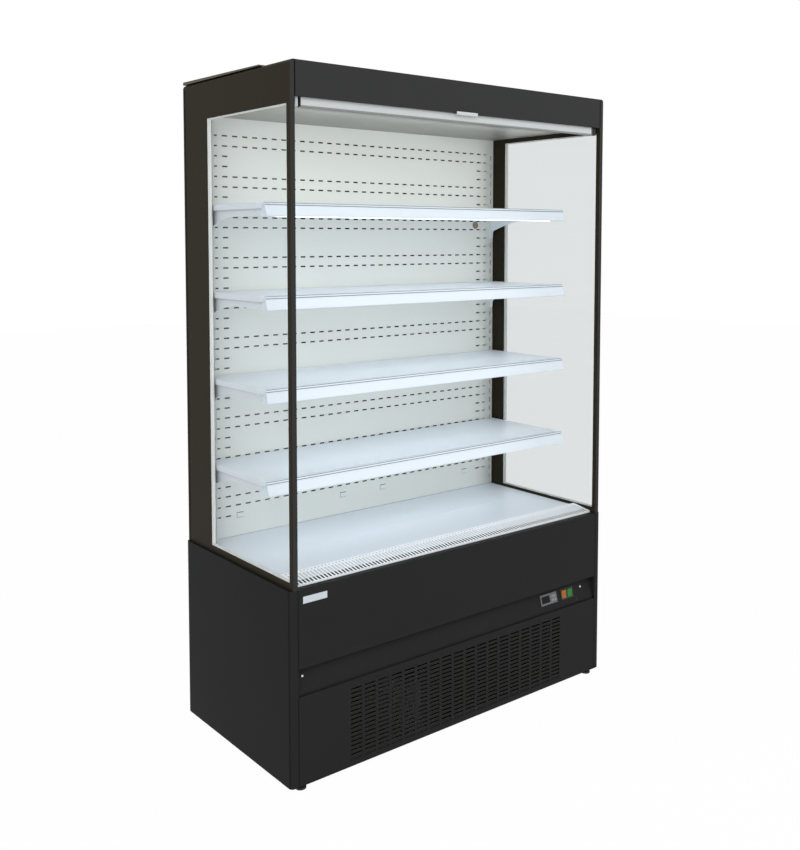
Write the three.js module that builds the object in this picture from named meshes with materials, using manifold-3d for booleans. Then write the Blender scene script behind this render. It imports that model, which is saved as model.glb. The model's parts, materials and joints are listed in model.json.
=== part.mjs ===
// Open-fronted refrigerated display cabinet: a steel base that holds the cooling plant, two glazed end
// panels, a perforated back with slotted uprights, four hung shelves, a canopy and a night blind.
// Millimetres, +Z up, the open front faces -Y, the origin is on the floor under the middle.

import * as THREE from 'three';
import { mergeVertices } from 'three/addons/utils/BufferGeometryUtils.js';
import Module from 'manifold-3d';

const wasm = await Module();
wasm.setup();

// ---------------------------------------------------------------- driving sizes

const clearance = 0.3; // between pieces that touch
const sheet = 1.5; // folded steel sheet

const cabinetWidth = 1232; // over the end panels
const cabinetDepth = 594;
const cabinetTop = 1950; // top of the end panels
const endPanelThickness = 16;

const baseOverhang = 9; // base past each end panel
const baseTop = 556;
const footHeight = 15; // floor to the underside of the base
const chassisFloor = 2;
const baseCornerRadius = 12;

const stripBottom = 268; // recessed control strip in the base front
const stripTop = 339;
const stripRecessTop = 24; // how far its face lies back, at its top and bottom
const stripRecessBottom = 6;
const stripGap = 6; // between the strip and the louvred panel
const ledgeDepth = 21.7; // black ledge in front of the air grille
const foldDepth = 22; // returns of the base's front sheets

const louvreColumns = 18;
const louvreRows = 17;
const louvreWidth = 38.5;
const louvreHeight = 6.5;
const louvreColumnPitch = 48;
const louvreRowPitch = 12.5;
const louvreFieldBottom = 32;

const footPadRadius = 16;
const footPadHeight = 6;
const footNeckRadius = 9;
const footStudRadius = 4.8;
const footStudLength = 45;
const footInset = 43; // foot centre to the side of the base
const footInsetFront = 21;

const tubFloorBottom = 345; // insulated tub with the evaporator
const tubFloorThickness = 25;
const tubSideWall = 33.2;
const tubFrontWall = 20;
const tubFrontWallDrop = 16; // below the base's top
const tubFrontGap = 4; // behind the ledge's edge
const tubSupportWidth = 100; // webs that carry the air grille
const tubSupportSpacing = 425;
const tubSupportShift = -20;
const postLegs = { front: [22, 46], rear: [45, 62] }; // chassis corner posts, along X and Y
const postThickness = 2;
const chassisFlange = 25;

const deckRise = 10; // over the base's top
const deckFlange = 11.5;
const deckSideGap = 3;
const deckSeamY = 0;
const deckSeamWidth = 2;
const deckSeamDepth = 0.7;

const grilleCrest = 7; // height of the air grille over the deck
const grilleDepth = 85;
const grilleSlots = 98;
const grilleSlotWidth = 5.5;
const grilleSlotPitch = 12;
const grilleLipHeight = 7;

const rearWallThickness = 50;
const ductDepth = 37; // between the rear wall and the back panel's face
const glassThickness = 14;
const glassFrontPost = 15.5; // end panel frame around the glass
const glassRearPost = 148;
const glassSill = 19; // over the base's top
const glassHeader = 112; // under the end panel's top
const endPanelWall = 2;
const endPanelCornerRadius = 8;

const fasciaHeight = 94;
const fasciaReturn = 8;
const ceilingDrop = 3; // under the fascia's lower edge
const ceilingFront = 65; // ceiling edge to the front of the cabinet
const ceilingFlange = 10;
const ceilingSeamY = 55;
const dischargeSlots = 16;
const dischargeSlotLength = 58;
const dischargeSlotWidth = 12;
const dischargePitch = 72;
const roofThickness = 43;
const lidRise = 9.2; // raised roof lid
const lidRiseFront = 4;
const lidSetBack = 146;
const cableHole = { radius: 15, fromSide: 60, fromRear: 147 };
const ductSlotEnd = 100; // end of the slot over the duct, to the end panel

const uprightWidth = 30;
const uprightSideGap = 8;
const slotPitch = 32.1875; // shelf slots, eight to a shelf space
const slotHeight = 18;
const slotWidth = 4;
const slotCount = 39;
const slotBelowShelf = 26; // centre of the hook's slot under the shelf's top

const shelfCount = 4;
const topShelf = 1588;
const shelfSlots = 8; // slot pitches from shelf to shelf
const shelfSideGap = 2;
const shelfDepth = 320;
const shelfRearGap = 6;
const shelfSheet = 1.2;
const shelfFlange = 17;
const bracketThickness = 2;
const bracketDrop = 37; // below the shelf's top, at the front
const bracketLeg = 98;
const railReach = 35; // from the shelf's front edge to the rail's lower edge
const railLean = 13.5;
const railTopWidth = 5;
const railDrop = 37;
const railWall = 2;

const cassetteSetBack = 4; // night blind
const cassetteDepth = 53;
const cassetteHeight = 44;
const cassetteSideGap = 8;
const cassetteEnd = 6;
const rollerSetBack = 28.09; // roller's axis behind the cassette's front
const cassetteSheet = 1.2;
const rollerRadius = 14;
const rollerPinRadius = 4;
const clothRollRadius = 18;
const clothThickness = 0.8;
const clothEndGap = 18; // inside the cassette's end
const barEndGap = 14;
const barDepth = 15;
const barHeight = 22;
const barLip = 7;
const barWall = 1.6;
const barDrop = 2; // below the cassette
const barSetBack = 10; // behind the fascia's face
const handleWidth = 83;
const handleReach = 14;
const handleLip = 9.5;
const handleWall = 2.2;
const handleDrop = 9.5; // from the bar's top to the handle's underside

const lampWidth = 24;
const lampHeight = 8.5;
const lampEndGap = 40; // to the end panel
const lampSetBack = 84; // lamp's front edge to the front of the cabinet

const compressorX = -340;
const compressorY = 60;
const compressorRadius = 72;
const compressorHeight = 178;
const compressorPlate = [190, 124, 3];
const compressorBelly = 26; // straight side's lower end, over the foot
const compressorShoulder = 46; // its upper end, under the crown
const compressorNeck = 22;
const compressorCrown = 7;
const compressorStub = { radius: 7, reach: 22, drop: 70 };
const pipeRadius = 4.5;
const pipeLead = 45;
const pipeSweep = 30;
const pipeRise = 20;
const pipeDrop = 12; // its end under the condenser's top
const condenserX = [-60, 400];
const condenserSetBack = 34; // behind the base front
const condenserDepth = 60;
const condenserHeight = 222;
const condenserFanRadius = 95;
const evaporatorX = [-430, 430];
const evaporatorY = [-70, 100];
const evaporatorHeight = 150;
const evaporatorFanRadius = 78;
const bulkheadY = -122;
const fanShaftRadius = 4;
const fanDepth = 30;
const fanHubRadius = 28;
const shroudDepth = 42;
const fanMouthGap = 6;
const fanBar = { width: 24, depth: 4, overlap: 10 };
const motorRadius = 26;
const motorLength = 40;
const coilTubeRadius = 5;
const dripTray = { left: 70, width: 390, depth: 195, height: 40, rearGap: 32, wall: 2 };

const bezelWidth = 77; // panel controller
const bezelHeight = 35;
const controllerX = 387;
const controllerBodyDepth = 50;
const keyWidth = 22;
const keyHeight = 9.5;
const keyTravel = 0.8;
const switchFrameWidth = 60; // two rocker switches in one frame
const switchFrameHeight = 36;
const switchX = 475;
const rockerWidth = 21.4;
const rockerLength = 26;
const rockerTilt = 7; // degrees to either side

// ---------------------------------------------------------------- derived places

const front = -cabinetDepth / 2;
const rear = cabinetDepth / 2;
const halfInside = cabinetWidth / 2 - endPanelThickness;
const halfBase = cabinetWidth / 2 + baseOverhang;
const backFace = rear - rearWallThickness - ductDepth;
const rearWallFront = rear - rearWallThickness;
const floorTop = footHeight + chassisFloor;
const louvrePanelTop = stripBottom - stripGap;
const tubInnerHalfWidth = halfBase - sheet - clearance - tubSideWall;
const tubFrontWallTop = baseTop - tubFrontWallDrop;
const deckTop = baseTop + deckRise;
const deckHalfWidth = halfInside - deckSideGap;
const glassBottom = baseTop + glassSill;
const glassTop = cabinetTop - glassHeader;
const fasciaBottom = cabinetTop - fasciaHeight;
const ceilingHeight = fasciaBottom - ceilingDrop;
const uprightOuter = halfInside - uprightSideGap;
const shelfHalfWidth = halfInside - shelfSideGap;
const cassetteHalfLength = halfInside - cassetteSideGap;
const clothHalfWidth = cassetteHalfLength - clothEndGap;
const barHalfLength = cassetteHalfLength - barEndGap;
const lampHalfLength = halfInside - lampEndGap;
const roofBottom = cabinetTop - clearance - roofThickness;
const grilleFront = front + ledgeDepth + clearance;
const grilleRear = grilleFront + grilleDepth;
const tubFront = grilleFront + tubFrontGap;
const tubTop = baseTop - sheet - clearance;
const ledgeEnd = front + ledgeDepth;
const shelfRear = backFace - shelfRearGap;
const shelfFront = shelfRear - shelfDepth;
const shelfPitch = shelfSlots * slotPitch;
const bracketX = uprightOuter - 5; // middle of the bracket and of the slots
const cassetteFront = front + cassetteSetBack;
const rollerY = cassetteFront + rollerSetBack;
const rollerZ = roofBottom - clearance - cassetteHeight / 2;
const barTop = roofBottom - clearance - cassetteHeight - barDrop;
const barFront = front + barSetBack;
const condenserY = [front + condenserSetBack, front + condenserSetBack + condenserDepth];

// ---------------------------------------------------------------- geometry helpers

// One closed solid with shared vertices and its faces turned outwards.
function closed(geometry) {
  geometry.deleteAttribute('normal');
  geometry.deleteAttribute('uv');
  const merged = mergeVertices(geometry, 1e-4);
  const p = merged.attributes.position;
  const index = merged.index.array;
  let volume = 0;
  const a = new THREE.Vector3();
  const b = new THREE.Vector3();
  const c = new THREE.Vector3();
  for (let i = 0; i < index.length; i += 3) {
    a.fromBufferAttribute(p, index[i]);
    b.fromBufferAttribute(p, index[i + 1]);
    c.fromBufferAttribute(p, index[i + 2]);
    volume += a.dot(b.cross(c));
  }
  if (volume < 0) {
    for (let i = 0; i < index.length; i += 3) {
      [index[i + 1], index[i + 2]] = [index[i + 2], index[i + 1]];
    }
  }
  return merged;
}

function toManifold(geometry) {
  const merged = closed(geometry.clone());
  return new wasm.Manifold(new wasm.Mesh({
    numProp: 3,
    vertProperties: new Float32Array(merged.attributes.position.array),
    triVerts: new Uint32Array(merged.index.array),
  }));
}

function toGeometry(manifold) {
  const mesh = manifold.getMesh();
  const geometry = new THREE.BufferGeometry();
  geometry.setAttribute('position', new THREE.BufferAttribute(new Float32Array(mesh.vertProperties), 3));
  geometry.setIndex(new THREE.BufferAttribute(new Uint32Array(mesh.triVerts), 1));
  return geometry;
}

function join(...geometries) {
  return toGeometry(geometries.map(toManifold).reduce((sum, next) => sum.add(next)));
}

function cut(body, ...tools) {
  if (tools.length === 0) return body;
  const tool = tools.map(toManifold).reduce((sum, next) => sum.add(next));
  return toGeometry(toManifold(body).subtract(tool));
}

function slab([x0, x1], [y0, y1], [z0, z1]) {
  const box = new THREE.BoxGeometry(x1 - x0, y1 - y0, z1 - z0);
  return box.translate((x0 + x1) / 2, (y0 + y1) / 2, (z0 + z1) / 2);
}

function shapeOf(points, holes = []) {
  const shape = new THREE.Shape(points.map(([u, v]) => new THREE.Vector2(u, v)));
  shape.holes = holes.map((hole) => new THREE.Path(hole.map(([u, v]) => new THREE.Vector2(u, v))));
  return shape;
}

// A section in Y and Z, drawn out along X.
function alongX(points, [x0, x1], holes = []) {
  const geometry = new THREE.ExtrudeGeometry(shapeOf(points, holes), { depth: x1 - x0, bevelEnabled: false });
  const basis = new THREE.Matrix4().makeBasis(
    new THREE.Vector3(0, 1, 0), new THREE.Vector3(0, 0, 1), new THREE.Vector3(1, 0, 0));
  return geometry.applyMatrix4(basis).translate(x0, 0, 0);
}

// A section in X and Y, drawn up along Z.
function alongZ(points, [z0, z1], holes = []) {
  const geometry = new THREE.ExtrudeGeometry(shapeOf(points, holes), { depth: z1 - z0, bevelEnabled: false });
  return geometry.translate(0, 0, z0);
}

// A section in X and Z, drawn back along Y.
function alongY(points, [y0, y1], holes = []) {
  const geometry = new THREE.ExtrudeGeometry(shapeOf(points, holes), { depth: y1 - y0, bevelEnabled: false });
  return geometry.rotateX(Math.PI / 2).translate(0, y1, 0);
}

// The section of a folded sheet: the outer line and its copy one thickness to the left of its run.
function folded(line, thickness) {
  const at = line.map(([u, v]) => new THREE.Vector2(u, v));
  const normals = at.slice(1).map((p, i) => {
    const run = p.clone().sub(at[i]).normalize();
    return new THREE.Vector2(-run.y, run.x);
  });
  const inner = at.map((p, i) => {
    const before = normals[Math.max(i - 1, 0)];
    const after = normals[Math.min(i, normals.length - 1)];
    const mitre = before.clone().add(after).normalize();
    return p.clone().addScaledVector(mitre, thickness / mitre.dot(before));
  });
  return [...at, ...inner.reverse()].map((p) => [p.x, p.y]);
}

// Points of an arc about a centre, from one angle to another, in degrees.
function arc([u, v], radius, from, to, steps) {
  return Array.from({ length: steps + 1 }, (_, i) => {
    const angle = THREE.MathUtils.degToRad(from + ((to - from) * i) / steps);
    return [u + radius * Math.cos(angle), v + radius * Math.sin(angle)];
  });
}

function rectangle([u0, u1], [v0, v1]) {
  return [[u0, v0], [u1, v0], [u1, v1], [u0, v1]];
}

// A solid of revolution whose axis is first Z, then turned to Y or X.
function turned(profile, segments, axis = 'z') {
  const geometry = new THREE.LatheGeometry(profile.map(([r, h]) => new THREE.Vector2(r, h)), segments);
  if (axis === 'z') geometry.rotateX(Math.PI / 2);
  if (axis === 'x') geometry.rotateZ(-Math.PI / 2);
  return geometry;
}

function cylinder(radius, [from, to], segments, axis = 'z') {
  return turned([[0, from], [radius, from], [radius, to], [0, to]], segments, axis);
}

function bendTube(points, radius, sides, steps) {
  const path = new THREE.CatmullRomCurve3(points.map((p) => new THREE.Vector3(...p)), false, 'centripetal');
  const section = shapeOf(arc([0, 0], radius, 0, 360 - 360 / sides, sides - 1));
  return new THREE.ExtrudeGeometry(section, { extrudePath: path, steps, bevelEnabled: false });
}

// ---------------------------------------------------------------- the scene graph

const cabinet = new THREE.Group();
cabinet.name = 'display_cabinet';

function add(name, geometry, [color, roughness, metalness], opacity = 1) {
  const material = new THREE.MeshStandardMaterial({ color, roughness, metalness });
  material.transparent = opacity < 1;
  material.opacity = opacity;
  const mesh = new THREE.Mesh(closed(geometry), material);
  mesh.name = name;
  cabinet.add(mesh);
  return mesh;
}

// A right-hand piece and its mirror image on the left.
function addPair(name, geometry, finish, opacity = 1) {
  const left = geometry.clone().scale(-1, 1, 1);
  add(`${name}_right`, geometry, finish, opacity);
  add(`${name}_left`, left, finish, opacity);
}

const blackSteel = [0x2b2b2b, 0.5, 0.4];
const brownBlackSteel = [0x38322b, 0.45, 0.3];
const greyBlackSteel = [0x3c3c3c, 0.45, 0.4];
const whiteSteel = [0xe2e8ec, 0.4, 0.1];
const whitePlastic = [0xeef4f8, 0.35, 0];
const galvanised = [0xa9adb0, 0.45, 0.8];
const aluminium = [0xc9cdd0, 0.3, 0.9];
const blackPlastic = [0x141414, 0.5, 0];
const darkPaint = [0x1b1c1e, 0.5, 0.3];
const copper = [0xb87048, 0.35, 0.9];
const clothGrey = [0xd9dcdc, 0.85, 0];

// ---------------------------------------------------------------- base

function baseSidePanel() {
  const r = baseCornerRadius;
  const plan = [
    [halfInside, front],
    ...arc([halfBase - r, front + r], r, -90, 0, 5),
    ...arc([halfBase - r, rear - r], r, 0, 90, 5),
    [halfInside, rear],
  ];
  const skin = alongZ(folded(plan, sheet), [footHeight, baseTop]);
  const ledge = slab([halfInside, halfBase - sheet / 2], [front + r, rear - r], [baseTop - sheet, baseTop]);
  return join(skin, ledge);
}

function footPlaces() {
  const x = halfBase - footInset;
  const y = [front + footInsetFront, rear - footInsetFront];
  return {
    front_left: [-x, y[0]],
    front_right: [x, y[0]],
    rear_left: [-x, y[1]],
    rear_right: [x, y[1]],
  };
}

// A rectangle about the origin with its corners cut off.
function clippedPlan(x, y, clip) {
  return [
    [-x + clip, -y], [x - clip, -y], [x, -y + clip], [x, y - clip],
    [x - clip, y], [-x + clip, y], [-x, y - clip], [-x, -y + clip],
  ];
}

function cornerPost(sideX, sideY, [legX, legY]) {
  const x = halfBase - sheet - clearance;
  const y = rear - sheet - clearance;
  const clip = baseCornerRadius;
  const plan = folded([[x - legX, y], [x - clip, y], [x, y - clip], [x, y - legY]].reverse(), postThickness);
  const post = alongZ(plan, [floorTop - 1, tubFloorBottom - clearance]);
  return post.scale(sideX, sideY, 1);
}

function baseChassis() {
  const x = halfBase - sheet - clearance;
  const y = rear - sheet - clearance;
  const clip = baseCornerRadius;
  const outer = alongZ(clippedPlan(x, y, clip), [footHeight, floorTop + chassisFlange]);
  const inner = alongZ(clippedPlan(x - sheet, y - sheet, clip), [floorTop, cabinetTop]);
  const tray = cut(outer, inner);
  const posts = [[-1, -1], [1, -1], [-1, 1], [1, 1]].map(
    ([sideX, sideY]) => cornerPost(sideX, sideY, sideY < 0 ? postLegs.front : postLegs.rear));
  const holes = Object.values(footPlaces()).map(([fx, fy]) =>
    cylinder(footStudRadius + clearance, [0, floorTop + 1], 16).translate(fx, fy, 0));
  return cut(join(tray, ...posts), ...holes);
}

function levellingFoot() {
  const neckTop = footHeight - clearance;
  return turned([
    [0, 0], [footPadRadius, 0], [footPadRadius, footPadHeight], [footNeckRadius, footPadHeight + 3],
    [footNeckRadius, neckTop], [footStudRadius, neckTop], [footStudRadius, footStudLength],
    [0, footStudLength],
  ], 16);
}

function louvredPanel() {
  const half = halfInside - clearance;
  const fieldWidth = (louvreColumns - 1) * louvreColumnPitch + louvreWidth;
  const slots = [];
  for (let column = 0; column < louvreColumns; column += 1) {
    const x = -fieldWidth / 2 + column * louvreColumnPitch;
    for (let row = 0; row < louvreRows; row += 1) {
      const z = louvreFieldBottom + row * louvreRowPitch;
      slots.push(slab([x, x + louvreWidth], [front - 1, front + 3], [z, z + louvreHeight]));
    }
  }
  const face = slab([-half, half], [front, front + sheet], [footHeight, louvrePanelTop]);
  const fold = slab([-half, half], [front + sheet / 2, front + foldDepth], [louvrePanelTop - sheet, louvrePanelTop]);
  return cut(join(face, fold), ...slots);
}

function upperFrontPanel() {
  const half = halfInside - clearance;
  const line = [
    [front + foldDepth, stripTop],
    [front, stripTop],
    [front, baseTop - 3],
    ...arc([front + 3, baseTop - 3], 3, 180, 90, 3).slice(1),
    [ledgeEnd, baseTop],
  ];
  return alongX(folded([...line].reverse(), sheet), [-half, half]);
}

// The control strip's face leans back; controls are drawn flat and then laid on it.
const stripLow = new THREE.Vector3(0, front + stripRecessBottom, stripBottom);
const stripHigh = new THREE.Vector3(0, front + stripRecessTop, stripTop - clearance);
const stripUp = stripHigh.clone().sub(stripLow).normalize();
const stripNormal = new THREE.Vector3(1, 0, 0).cross(stripUp);
const stripMiddle = stripLow.clone().add(stripHigh).multiplyScalar(0.5);

function onStrip(geometry, x) {
  const basis = new THREE.Matrix4().makeBasis(new THREE.Vector3(1, 0, 0), stripUp, stripNormal);
  basis.setPosition(stripMiddle.x + x, stripMiddle.y, stripMiddle.z);
  return geometry.applyMatrix4(basis);
}

const controllerBody = { width: bezelWidth - 7, height: bezelHeight - 7 };
const switchBody = { width: switchFrameWidth - 4, height: switchFrameHeight - 5 };

function hole({ width, height }) {
  const w = width / 2 + clearance;
  const h = height / 2 + clearance;
  return slab([-w, w], [-h, h], [-10, 10]);
}

function controlStrip() {
  const half = halfInside - clearance;
  const line = [
    [stripHigh.y + foldDepth, stripHigh.z],
    [stripHigh.y, stripHigh.z],
    [stripLow.y, stripLow.z],
    [stripLow.y + foldDepth, stripLow.z],
  ];
  const face = alongX(folded(line, sheet), [-half, half]);
  const cheek = [
    [front + 1, stripLow.z], [stripLow.y + 2, stripLow.z], [stripHigh.y + 2, stripHigh.z],
    [front + 1, stripHigh.z],
  ];
  const cheeks = [[-half, -half + sheet], [half - sheet, half]].map((span) => alongX(cheek, span));
  return cut(join(face, ...cheeks), onStrip(hole(controllerBody), controllerX), onStrip(hole(switchBody), switchX));
}

function baseRearCover() {
  const half = halfInside - clearance;
  const slots = [];
  for (const side of [-1, 1]) {
    for (let row = 0; row < 8; row += 1) {
      const x = side * 300;
      const z = 90 + row * 24;
      slots.push(slab([x - 120, x + 120], [rear - 3, rear + 1], [z, z + 9]));
    }
  }
  const face = slab([-half, half], [rear - sheet, rear], [footHeight, tubFloorBottom - clearance]);
  const gland = cylinder(9, [-(rear + 4), -(rear - 12)], 16, 'z').rotateX(Math.PI / 2).translate(0, 0, 55);
  const bore = cylinder(4.2, [-(rear + 9), -(rear - 20)], 12, 'z').rotateX(Math.PI / 2).translate(0, 0, 55);
  return cut(join(face, gland), bore, ...slots);
}

addPair('base_side_panel', baseSidePanel(), blackSteel);
add('base_chassis', baseChassis(), galvanised);
for (const [name, [x, y]] of Object.entries(footPlaces())) {
  add(`levelling_foot_${name}`, levellingFoot().translate(x, y, 0), blackPlastic);
}
add('louvred_front_panel', louvredPanel(), blackSteel);
add('upper_front_panel', upperFrontPanel(), blackSteel);
add('control_strip', controlStrip(), blackSteel);
add('base_rear_cover', baseRearCover(), blackSteel);

// ---------------------------------------------------------------- controls

const bezelThickness = 3;
const keyPocketDepth = 5;

function keyCentre(row) {
  return [bezelWidth / 2 - keyWidth / 2 - 5, (row - 0.5) * (keyHeight + 2)];
}

function controllerHousing() {
  const w = controllerBody.width / 2;
  const h = controllerBody.height / 2;
  const bezel = slab([-bezelWidth / 2, bezelWidth / 2], [-bezelHeight / 2, bezelHeight / 2],
    [clearance, bezelThickness]);
  const body = slab([-w, w], [-h, h], [-controllerBodyDepth, clearance + 1]);
  const window = slab([-bezelWidth / 2 + 5, 4], [-11, 11], [bezelThickness - 1, bezelThickness + 1]);
  const pockets = [0, 1].map((row) => {
    const [x, y] = keyCentre(row);
    const kw = keyWidth / 2 + clearance;
    const kh = keyHeight / 2 + clearance;
    return slab([x - kw, x + kw], [y - kh, y + kh], [bezelThickness - keyPocketDepth, bezelThickness + 1]);
  });
  return onStrip(cut(join(bezel, body), window, ...pockets), controllerX);
}

function controllerKey(row) {
  const [x, y] = keyCentre(row);
  const low = bezelThickness - keyPocketDepth + keyTravel + clearance;
  const key = slab([x - keyWidth / 2, x + keyWidth / 2], [y - keyHeight / 2, y + keyHeight / 2],
    [low, bezelThickness + keyTravel]);
  return onStrip(key, controllerX);
}

const rockerPivot = -1; // below the strip's face
const switchFrameThickness = 2.5;

function rockerCentre(side) {
  return (side * switchFrameWidth) / 4.2;
}

function switchFrame() {
  const w = switchBody.width / 2;
  const h = switchBody.height / 2;
  const plate = slab([-switchFrameWidth / 2, switchFrameWidth / 2],
    [-switchFrameHeight / 2, switchFrameHeight / 2], [clearance, switchFrameThickness]);
  const body = slab([-w, w], [-h, h], [-22, clearance + 1]);
  const wells = [-1, 1].map((side) => {
    const x = rockerCentre(side);
    const rw = rockerWidth / 2 + clearance;
    const rh = rockerLength / 2 + 0.9;
    return slab([x - rw, x + rw], [-rh, rh], [-12, switchFrameThickness + 1]);
  });
  return onStrip(cut(join(plate, body), ...wells), switchX);
}

function rocker(side) {
  const h = rockerLength / 2;
  const outline = [[-h, 4], [0, 2.6], [h, 4], [h, 0], [h * 0.6, -7], [-h * 0.6, -7], [-h, 0]];
  const body = alongX(outline, [-rockerWidth / 2, rockerWidth / 2]);
  body.translate(0, 0, -rockerPivot);
  body.rotateX(THREE.MathUtils.degToRad(rockerTilt));
  body.translate(rockerCentre(side), 0, rockerPivot);
  return onStrip(body, switchX);
}

add('controller_housing', controllerHousing(), [0x5d5e60, 0.5, 0]);
add('controller_key_upper', controllerKey(1), [0x8a8a90, 0.5, 0]);
add('controller_key_lower', controllerKey(0), [0x8a8a90, 0.5, 0]);
add('switch_frame', switchFrame(), blackPlastic);
add('rocker_switch_left', rocker(-1), [0xb9803c, 0.35, 0]);
add('rocker_switch_right', rocker(1), [0x3f9440, 0.35, 0]);

// ---------------------------------------------------------------- cooling plant

function fan(radius, hubRadius, depth, blades) {
  const hub = cylinder(hubRadius, [-depth / 2, depth / 2], 16);
  const vanes = Array.from({ length: blades }, (_, i) => {
    const vane = new THREE.BoxGeometry(radius - hubRadius + 3, 2, depth * 1.1);
    vane.rotateX(THREE.MathUtils.degToRad(55));
    vane.translate((radius + hubRadius - 3) / 2, 0, 0);
    return vane.rotateZ((i * 2 * Math.PI) / blades);
  });
  const bore = cylinder(fanShaftRadius + clearance, [-depth, depth], 12);
  return cut(join(hub, ...vanes), bore).rotateX(Math.PI / 2);
}

// Plate with a round mouth, a cross bar behind it, and the motor with its shaft.
function fanCarrier(outline, [y0, y1], [cx, cz], radius) {
  const mouth = arc([cx, cz], radius + fanMouthGap, 0, 345, 23);
  const plate = alongY(outline, [y0, y1], [mouth]);
  const half = fanBar.width / 2;
  const span = radius + fanBar.overlap;
  const bar = slab([cx - half, cx + half], [y1 - 0.5, y1 + fanBar.depth], [cz - span, cz + span]);
  const back = y1 + fanBar.depth / 2;
  const motor = cylinder(motorRadius, [-(back + motorLength), -back], 16)
    .rotateX(Math.PI / 2).translate(cx, 0, cz);
  const reach = [-(y1 + 10), -(y0 - fanDepth - 4)];
  const shaft = cylinder(fanShaftRadius, reach, 12).rotateX(Math.PI / 2).translate(cx, 0, cz);
  return join(plate, bar, motor, shaft);
}

// Upright fins on a bottom rail between two end plates, with return bends standing out of the plates.
function finnedCoil([x0, x1], [y0, y1], [z0, z1], footZ, bends, fins) {
  const plate = 2;
  const fin = 2;
  const pitch = (x1 - x0 - plate) / (fins + 1);
  const comb = [[x0 + 1, z0], [x1 - 1, z0], [x1 - 1, z0 + 6]];
  for (let i = fins; i > 0; i -= 1) {
    const x = x0 + plate / 2 + i * pitch;
    comb.push([x + fin / 2, z0 + 6], [x + fin / 2, z1 - 2], [x - fin / 2, z1 - 2], [x - fin / 2, z0 + 6]);
  }
  comb.push([x0 + 1, z0 + 6]);
  const pack = alongY(comb, [y0 + 2, y1 - 2]);
  const plates = [[x0, x0 + plate], [x1 - plate, x1]].map((x) => slab(x, [y0, y1], [footZ, z1]));
  const bendPitch = (z1 - z0) / bends;
  const reach = bendPitch * 0.28;
  const y = (y0 + y1) / 2;
  const tubes = [];
  for (let i = 0; i < bends; i += 1) {
    const z = z0 + (i + 0.5) * bendPitch;
    for (const [x, side] of [[x0 + 1, -1], [x1 - 1, 1]]) {
      const loop = [
        [x, y, z - reach], [x + side * reach * 0.7, y, z - reach * 0.75], [x + side * reach, y, z],
        [x + side * reach * 0.7, y, z + reach * 0.75], [x, y, z + reach],
      ];
      tubes.push(bendTube(loop, coilTubeRadius, 6, 5));
    }
  }
  return join(pack, ...plates, ...tubes);
}

function compressor() {
  const seat = floorTop + clearance;
  const [length, width, thickness] = compressorPlate;
  const plate = slab([-length / 2, length / 2], [-width / 2, width / 2], [seat, seat + thickness]);
  const r = compressorRadius;
  const low = seat + 2;
  const high = low + compressorHeight;
  const shell = turned([
    [0, low], [r * 0.72, low], [r, low + compressorBelly], [r, high - compressorShoulder],
    [r * 0.93, high - compressorNeck], [r * 0.7, high - compressorCrown], [r * 0.35, high], [0, high],
  ], 24);
  const stub = cylinder(compressorStub.radius, [r - 8, r + compressorStub.reach], 10, 'x')
    .translate(0, 0, high - compressorStub.drop);
  return join(plate, shell, stub).translate(compressorX, compressorY, 0);
}

const compressorOutlet = [
  compressorX + compressorRadius + compressorStub.reach, compressorY,
  floorTop + clearance + 2 + compressorHeight - compressorStub.drop,
];

const condenserFanCentre = [
  (condenserX[0] + condenserX[1]) / 2, floorTop + clearance + condenserHeight / 2,
];
const shroudBack = condenserY[1] + clearance + shroudDepth;

function condenserFanFrame() {
  const seat = floorTop + clearance;
  const outline = rectangle(condenserX, [seat, seat + condenserHeight]);
  const opening = rectangle([condenserX[0] + sheet, condenserX[1] - sheet],
    [seat + sheet, seat + condenserHeight - sheet]);
  const ring = alongY(outline, [condenserY[1] + clearance, shroudBack], [opening]);
  const carrier = fanCarrier(outline, [shroudBack - 2, shroudBack], condenserFanCentre, condenserFanRadius);
  return join(ring, carrier);
}

function pipe() {
  const [x, y, z] = compressorOutlet;
  const end = [condenserX[0] - clearance, condenserY[1] - 20, floorTop + condenserHeight - pipeDrop];
  const side = 2 * pipeSweep;
  return bendTube([
    [x + clearance, y, z], [x + pipeLead, y, z], [x + pipeLead + pipeSweep, y - side, z + pipeRise],
    [end[0] - 70, end[1] + side, end[2]], [end[0] - 40, end[1], end[2]], end,
  ], pipeRadius, 8, 22);
}

function evaporationTray() {
  const { left, width, depth, height, rearGap, wall } = dripTray;
  const x = [left, left + width];
  const y = [rear - rearGap - depth, rear - rearGap];
  const seat = floorTop + clearance;
  const outer = slab(x, y, [seat, seat + height]);
  const inner = slab([x[0] + wall, x[1] - wall], [y[0] + wall, y[1] - wall], [seat + wall, seat + height + 1]);
  return cut(outer, inner);
}

add('compressor', compressor(), darkPaint);
add('condenser_coil', finnedCoil(condenserX, condenserY,
  [floorTop + 12, floorTop + clearance + condenserHeight], floorTop + clearance, 3, 22), darkPaint);
add('condenser_fan_frame', condenserFanFrame(), galvanised);
add('condenser_fan', fan(condenserFanRadius, fanHubRadius, fanDepth, 5)
  .translate(condenserFanCentre[0], shroudBack - 2 - fanDepth / 2 - 2, condenserFanCentre[1]), blackPlastic);
add('refrigerant_pipe', pipe(), copper);
add('evaporation_tray', evaporationTray(), blackPlastic);

const tubFloorTop = tubFloorBottom + tubFloorThickness;
const evaporatorFanCentre = [0, (tubFloorTop + tubTop) / 2];

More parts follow.
